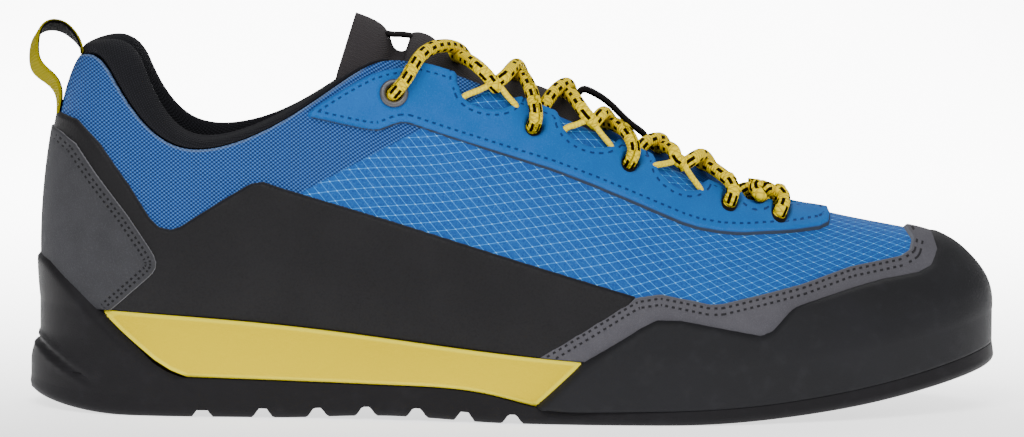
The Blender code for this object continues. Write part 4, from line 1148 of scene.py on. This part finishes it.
# Upper, overlays and rubber bands
def build_upper():
    places = round_the_toe(0.0, cell=1.3)
    p, h = np.meshgrid(places, np.linspace(0.0, 1.0, 66), indexing="ij")
    points = lifted(body, p, h, 0.0)
    join_ridge(points, places)
    up = lengths(points, 1)
    seen = points[..., [0, 2]]
    # Distance to the lace holes, for the painted shade under each hole.
    punch = np.min([np.linalg.norm(seen - spot, axis=-1) for spot in LACE_HOLES], axis=0)
    values = {"u": points[..., 0], "v": up, "brim": up[:, -1:] - up, "punch": punch}
    bm = mapped_grid(points, values={key: value * MM for key, value in values.items()})
    item = new_piece("upper_shell", bm, "upper", "upper_fabric", upper_fabric(), lining_fabric())
    add_thickness(item, WALL, inner_material=1)


def shifted(line, distance):
    """Copy of a side-view line moved to its left by a distance."""
    points = np.array(line, float)
    run = unit(np.gradient(points, axis=0))
    return [Corner(*p) for p in points + np.stack([-run[:, 1], run[:, 0]], axis=1) * distance]


def scallop_line(row):
    """Rounded notch in the eyestay, from its toe end to its heel end."""
    turn = np.linspace(0.0, math.pi, 14)
    along = 0.5 - 0.5 * np.cos(turn)
    x = row.front_x + (row.rear_x - row.front_x) * along
    z = row.front_z + (row.rear_z - row.front_z) * along - row.depth * np.sin(turn)
    front = [Corner(row.front_x + 1.6, ABOVE_ALL), Corner(row.front_x + 1.4, row.front_z + 2.0)]
    rear = [Corner(row.rear_x - 1.2, row.rear_z + 2.0), Corner(row.rear_x - 1.4, ABOVE_ALL)]
    return [*front, *map(Corner, x, z), *rear]


def build_overlays(rubber, rand_rubber):
    film = [*QUARTER_EDGE, Corner(36, 34), Corner(15, 19), Corner(6, 12), Corner(-165, 12)]
    build_panel(
        "quarter_film", Panel(film, FILM_THICK, FILM_SOFT), round_the_heel(8.4, cell=0.8),
        np.linspace(0.0, 0.86, 110), "quarter_overlay", "overlay_film", film_black())
    counter = [*COUNTER_EDGE, Corner(-127, 26), Corner(-165, 26)]
    build_panel(
        "counter_patch", Panel(counter, OVERLAY_THICK, OVERLAY_SOFT, seams=(COUNTER_EDGE[2:],)),
        round_the_heel(3.4, cell=0.7), np.linspace(0.0, 0.8, 100), "heel_counter", "grey_overlay",
        suede_grey("counter_grey", (57, 57, 60), (2.0 * MM, 3.4 * MM), 1.8 * MM, srgb(112, 112, 116)))
    # The mudguard's grey suede is lighter than the counter's: partly its own tone, partly painted light on
    # the toe.
    guard = [*MUDGUARD_EDGE, *shifted(RAND_EDGE, -2.5)[::-1]]
    build_panel(
        "mudguard_strip", Panel(guard, GUARD_THICK, OVERLAY_SOFT, seams=(MUDGUARD_EDGE[:-2],)),
        round_the_toe(6.4, cell=0.8), np.linspace(0.0, 1.0, 110), "mudguard", "grey_overlay",
        suede_grey("mudguard_grey", (77, 76, 81), (1.5 * MM, 3.3 * MM), 2.1 * MM, srgb(92, 94, 100)))
    throat = [corner for row in SCALLOPS for corner in scallop_line(row)]
    stay = [*EYESTAY_EDGE, Corner(95, ABOVE_ALL), *throat, *EYESTAY_REAR]
    seams = (EYESTAY_EDGE, throat, EYESTAY_REAR[1:-2])
    build_panel(
        "eyestay_panel", Panel(stay, OVERLAY_THICK, OVERLAY_SOFT, holes=LACE_HOLES, seams=seams),
        round_the_toe(4.0, cell=0.7), np.linspace(0.4, 1.0, 90), "eyestay", "eyestay_nubuck", nubuck_blue())
    rand = Panel(RAND_OUTLINE, RAND_THICK, RUBBER_SOFT, band, creases=(), taper=thin_over_toe)
    rand_rows = np.concatenate([np.linspace(-1.0, 0.0, 16), np.linspace(0.0, 0.95, 66)[1:]])
    build_panel(
        "rand_band", rand, round_the_toe(6.3, cell=0.9), rand_rows, "toe_rand", "rand_rubber", rand_rubber)
    wrap = Panel(WRAP_OUTLINE, WRAP_THICK, RUBBER_SOFT, heel_band, creases=GROOVES)
    wrap_rows = np.concatenate([np.linspace(-1.0, 0.0, 30), np.linspace(0.0, 0.3, 24)[1:]])
    build_panel(
        "heel_wrap", wrap, round_the_heel(3.7, cell=0.8), wrap_rows, "outsole", "outsole_rubber", rubber)


# Padded pieces
def padded_piece(name, rings, node, material):
    """Closed soft piece from rings along it."""
    values = {"u": lengths(rings, 0) * MM, "v": lengths(rings, 1) * MM}
    bm = close_solid(mapped_grid(rings, closed_rows=True, values=values))
    return new_piece(name, bm, node, "black_knit", material)


def build_tongue():
    rows = np.array(TONGUE, float)
    along = np.linspace(0.0, len(rows) - 1.0, 150)
    middle = spline(np.arange(len(rows)), rows)(along)
    x, z, half, drop, thick = (column[:, None] for column in middle.T)
    dx, dz = -math.cos(TONGUE_LEAN), math.sin(TONGUE_LEAN)
    share = np.linspace(-1.0, 1.0, 41)[None]
    slope = -2 * drop * share / half
    lean = 1.0 / np.hypot(1.0, slope)
    depth = thick * (1.0 - share ** 6) ** 0.5
    fall = drop * share * share
    pad = smooth((x - PAD_REAR) / PAD_REAR_SLOPE) * smooth((PAD_FRONT - x) / PAD_FRONT_SLOPE)
    z = z + PAD_HEIGHT * pad * (1.0 - share ** 2)
    y = share * half
    top = np.stack([x - dz * fall, y, z + dx * fall], axis=-1)
    fall_low, y_low = fall + depth * lean, y + depth * slope * lean
    under = np.stack([x - dz * fall_low, y_low, z + dx * fall_low], axis=-1)
    rings = np.concatenate([top, under[:, ::-1]], axis=1)
    item = padded_piece("tongue_pad", rings, "tongue", tongue_knit())


def build_collar():
    stations = np.linspace(0.0, COLLAR[-1].station, 100)
    row_at = spline([row.station for row in COLLAR], np.array(COLLAR, float)[:, 1:])
    wall = -(WALL + 2 * GAP)
    profiles = []
    for side, order in ((OUTER, stations[::-1]), (INNER, stations[1:])):
        places = place_of(side, order)
        forward, up, thick, start = np.moveaxis(row_at(order), -1, 0)
        stand = np.stack([forward, 0 * up, up], axis=-1)
        ones = np.ones(len(order))
        edge = lifted(body, places, ones, wall)
        inward = -surface_normal(body, places, ones)
        cover = -inward * (COLLAR_COVER - COVER_LOSS * smooth(order - COVER_TO))[:, None]
        roll = [
            edge + stand * row.stand + cover * row.cover + inward * row.inward * thick[:, None]
            for row in COLLAR_ROLL]
        middle = (1.0 + start) / 2
        outside = [lifted(body, places, start, wall), lifted(body, places, middle, wall), edge]
        inside_rows = [
            lifted(body, places, middle, wall - thick), lifted(body, places, start, wall - COLLAR_FOOT)]
        profiles.append(np.stack([*outside, *roll, *inside_rows], axis=1))
    controls = np.concatenate(profiles)
    count = controls.shape[1]
    ring = spline(np.arange(count), np.moveaxis(controls, 1, 0).reshape(count, -1), count)
    turn = np.linspace(0.0, count, 56, endpoint=False)
    points = np.moveaxis(ring(turn).reshape(len(turn), -1, 3), 0, 1)
    item = padded_piece("collar_pad", points, "collar_padding", collar_knit())


# Lacing
def side_path(side, row, steps, lift=0.0):
    """Points of the lace at steps from a row of the lacing."""
    return [side_point(side, Corner(row.x + step.dx, row.z + step.dz), lift + step.lift) for step in steps]


def over_throat(side, row, crossing, slack):
    """Where the lace bends over the throat edge; it stands off with slack on the outer side only."""
    x = 0.65 * row.x + 0.35 * crossing.x
    lift = OVERLAY_THICK + GAP + LACE_RADIUS
    if side == OUTER:
        return throat_point(side, x, lift + slack, turn=0.55)
    return throat_point(side, x, lift, turn=0.0)


def lace_start(side, first, crossing):
    """Out of the top eyelet, or from under the throat edge beside a hole."""
    row = LACE_ROWS[first]
    if first == 0:
        edge = throat_point(side, 0.55 * row.x + 0.45 * crossing.x, 3.7)
        return [*side_path(side, row, EYELET_STEPS), edge]
    inward = np.array([0.0, -side, 0.0])
    edge = throat_point(side, row.x + 3.0, 0.0)
    return [edge + inward * 2.0 - (1.5, 0.0, 6.0), edge + inward * 3.0 + (0.0, 0.0, 1.0)]


def crest(crossing, on_top):
    """Middle of one of the two strands of a crossing."""
    shift, under = TOP_STRAND if on_top else LOW_STRAND
    return np.array([crossing.x + shift, CREST_Y, crossing.z - under])


def to_crest(side, edge, middle):
    """From the throat edge up to a crossing; the inner part sags below the crossing."""
    return [edge] if side == OUTER else [edge, (edge + middle) / 2 - (0.0, 0.0, 0.8)]


def lace_run(side, first):
    """One visible run: out at a hole, over to the other side's cord loop and back into the next hole."""
    turn, end = LACE_ROWS[first + 1:first + 3]
    cross_out, cross_back = CROSSINGS[first], CROSSINGS[first + 1]
    out, back = crest(cross_out, side == OUTER), crest(cross_back, side == INNER)
    path = lace_start(side, first, cross_out)
    path += [*to_crest(side, path.pop(), out), out]
    path += to_crest(-side, over_throat(-side, turn, cross_out, SLACK_OUT), out)[::-1]
    path += side_path(-side, turn, LOOP_STEPS, LACE_LIFT)
    path += [*to_crest(-side, over_throat(-side, turn, cross_back, SLACK_BACK), back), back]
    path += to_crest(side, over_throat(side, end, cross_back, SLACK_BACK), back)[::-1]
    return path + side_path(side, end, HOLE_STEPS)


def cord_path(side, loop):
    """Straight legs from two slits in the eyestay's notch up to the lace that the loop holds."""
    row = LACE_ROWS[loop.row]
    top = side_point(side, Corner(row.x, row.z + 0.8), LACE_LIFT + 1.2)

    def leg(x, z, dx, dz):
        end = side_point(side, Corner(x + dx, z + dz), -1.5)
        foot = side_point(side, Corner(x, z), CORD_RADIUS + 0.2)
        return [end, *(foot + (top - foot) * share for share in (0.0, 0.45, 0.85))]

    rear = leg(loop.rear_x, loop.rear_z, -0.8, -0.6)
    front = leg(loop.front_x, loop.front_z, 0.8, -0.8)
    return [*rear, *front[::-1]]


def build_lacing():
    runs = [
        tube(lace_run(side, first), LACE_RADIUS, sides=18, cell=0.8)
        for side in SIDES for first in range(0, len(CROSSINGS), 2)]
    new_piece("lace_rope", merge_meshes(runs), "lace", "lace_rope", rope_yellow())
    cord = cord_yellow()
    for side, label in SIDE_NAMES.items():
        for loop in CORD_LOOPS:
            place = f"{label}_{loop.row}"
            bm = tube(cord_path(side, loop), CORD_RADIUS, sides=12, cell=0.5)
            new_piece("cord_loop_" + place, bm, "lace_cord_" + place, "yellow_webbing", cord)


def build_eyelets():
    metal = eyelet_metal()
    row = LACE_ROWS[0]
    bore = HOLE_RADIUS - EYELET_WALL
    profile = [(bore - EYELET_WALL, -3.0), (bore, -3.0), (bore, 0.1), (EYELET_RADIUS, 0.1)]
    for t in np.linspace(0.1, math.pi, 9):
        profile.append((EYELET_MIDDLE + 0.95 * math.cos(t), 0.25 + 0.85 * math.sin(t)))
    for side, label in SIDE_NAMES.items():
        place, height = locate(side, row.x, row.z)
        seat = lifted(body, place, height, OVERLAY_THICK + GAP + 0.1)
        axis = Vector(surface_normal(body, place, height))
        turn = np.array(Vector((0, 0, 1)).rotation_difference(axis).to_matrix())
        angles = np.linspace(0.0, 2 * math.pi, 40, endpoint=False)
        points = np.array([
            [seat + turn @ np.array([r * math.cos(a), r * math.sin(a), up]) for r, up in profile]
            for a in angles])
        bm = close_solid(mapped_grid(points, closed_columns=True, closed_rows=True))
        new_piece("eyelet_ring_" + label, bm, "eyelet_" + label, "eyelet_metal", metal)


def build_webbing():
    yellow, black = srgb(132, 122, 0), srgb(6, 5, 5)
    loop = ribbon(PULL_LOOP, width=10.0, thickness=1.2, samples=90, lean=LOOP_LEAN)
    new_piece("heel_pull_loop", loop, "pull_loop", "yellow_webbing", webbing("pull_tape", yellow, black))
    tape = webbing("keeper_tape", srgb(28, 26, 27), black)
    for name, path, width, thick, node in (
            ("keeper_strap_mid", KEEPER_MID, 8.0, 1.7, "tongue_keeper_mid"),
            ("keeper_strap_top", KEEPER_TOP, 10.0, 1.2, "tongue_keeper_top")):
        new_piece(name, ribbon(path, width, thick, samples=40), node, "black_webbing", tape)


# Stage: pale floor, soft studio light and the camera at the photograph's angle
PIXEL_MM = 0.3125
PICTURE_WIDTH = 1024
CAMERA_LENS, SENSOR = 250.0, 36.0
CAMERA_RISE = math.radians(6.2)
CAMERA_ROLL = math.radians(0.3)
FLOOR_ROW, MIDDLE_ROW = 403.5, 218.5  # picture rows of the shoe's place on the floor and of the middle
AIM_Z = (FLOOR_ROW - MIDDLE_ROW) * PIXEL_MM / math.cos(CAMERA_RISE) * MM
WHITE = (1.0, 1.0, 1.0, 1.0)
WORLD_STRENGTH = 0.5
FLOOR_HALF = 4.0
FLOOR_GLOW, SWEEP_GLOW = 0.75, 9.0  # of the paper everywhere, and added to it behind the shoe
SWEEP_FROM, SWEEP_TO = -0.2, 0.7  # the added glow rises over this depth
SWEEP_SIDE, SWEEP_MIDDLE = 0.85, 0.1  # and fades out sideways from the middle
LIGHT_AIM = (0.0, 0.0, 0.05)
Softbox = namedtuple("Softbox", "name place size power")
SOFTBOXES = table(
    Softbox,
    ("key", (-0.35, -1.2, 1.5), (1.2, 1.2), 26.0),
    ("fill", (0.9, -1.3, 0.7), (1.0, 1.0), 7.0),
    ("back", (0.2, 1.2, 1.3), (1.4, 0.8), 14.0),
)


def build_camera():
    data = bpy.data.cameras.new("camera")
    data.lens, data.sensor_width = CAMERA_LENS, SENSOR
    data.clip_end = 50.0
    back = Vector((0.0, -math.cos(CAMERA_RISE), math.sin(CAMERA_RISE)))
    camera = bpy.data.objects.new("camera", data)
    distance = CAMERA_LENS / SENSOR * PICTURE_WIDTH * PIXEL_MM * MM
    camera.location = Vector((0.0, 0.0, AIM_Z)) + back * distance
    camera.rotation_mode = "QUATERNION"
    camera.rotation_quaternion = back.to_track_quat("Z", "Y") @ Quaternion((0, 0, 1), CAMERA_ROLL)
    bpy.context.scene.collection.objects.link(camera)
    bpy.context.scene.camera = camera


def add_softbox(box):
    data = bpy.data.lights.new(box.name, "AREA")
    data.shape = "RECTANGLE"
    data.size, data.size_y = box.size
    data.energy = box.power
    lamp = bpy.data.objects.new(box.name, data)
    lamp.location = box.place
    lamp.rotation_mode = "QUATERNION"
    lamp.rotation_quaternion = (Vector(box.place) - Vector(LIGHT_AIM)).to_track_quat("Z", "Y")
    bpy.context.scene.collection.objects.link(lamp)


def build_stage():
    bm = bmesh.new()
    bmesh.ops.create_grid(bm, x_segments=8, y_segments=8, size=FLOOR_HALF)
    mesh = bpy.data.meshes.new("floor")
    bm.to_mesh(mesh)
    bm.free()
    floor = bpy.data.objects.new("floor", mesh)
    bpy.context.scene.collection.objects.link(floor)
    paper = Look("pale_floor", rough=0.95, specular=0.1)
    paper.set_socket("Emission Color", WHITE)
    paper.paint(srgb(250, 250, 250), (paper.noise(0.4) * 0.2, srgb(244, 244, 244)))
    across, depth, _ = paper.position()
    middle = across.math("ABSOLUTE").rise(SWEEP_SIDE, SWEEP_MIDDLE)
    glow = depth.rise(SWEEP_FROM, SWEEP_TO) * middle * SWEEP_GLOW + FLOOR_GLOW
    paper.tree.links.new(glow.socket, paper.shader.inputs["Emission Strength"])
    mesh.materials.append(paper.material)
    world = bpy.data.worlds.new("studio")
    world.use_nodes = True
    background = world.node_tree.nodes["Background"]
    background.inputs["Color"].default_value = WHITE
    background.inputs["Strength"].default_value = WORLD_STRENGTH
    bpy.context.scene.world = world
    for box in SOFTBOXES:
        add_softbox(box)


build_camera()
build_stage()
black_rubber = rubber_black("sole_rubber", (25, 24, 26), 0.62)
build_outsole(black_rubber)
build_midsole()
build_upper()
build_insole()
# The rand's black rubber is lighter than the sole's: partly its own tone, partly painted light on the toe.
build_overlays(black_rubber, rubber_black("rand_rubber", (31, 31, 33), 0.62))
build_tongue()
build_collar()
build_lacing()
build_eyelets()
build_webbing()
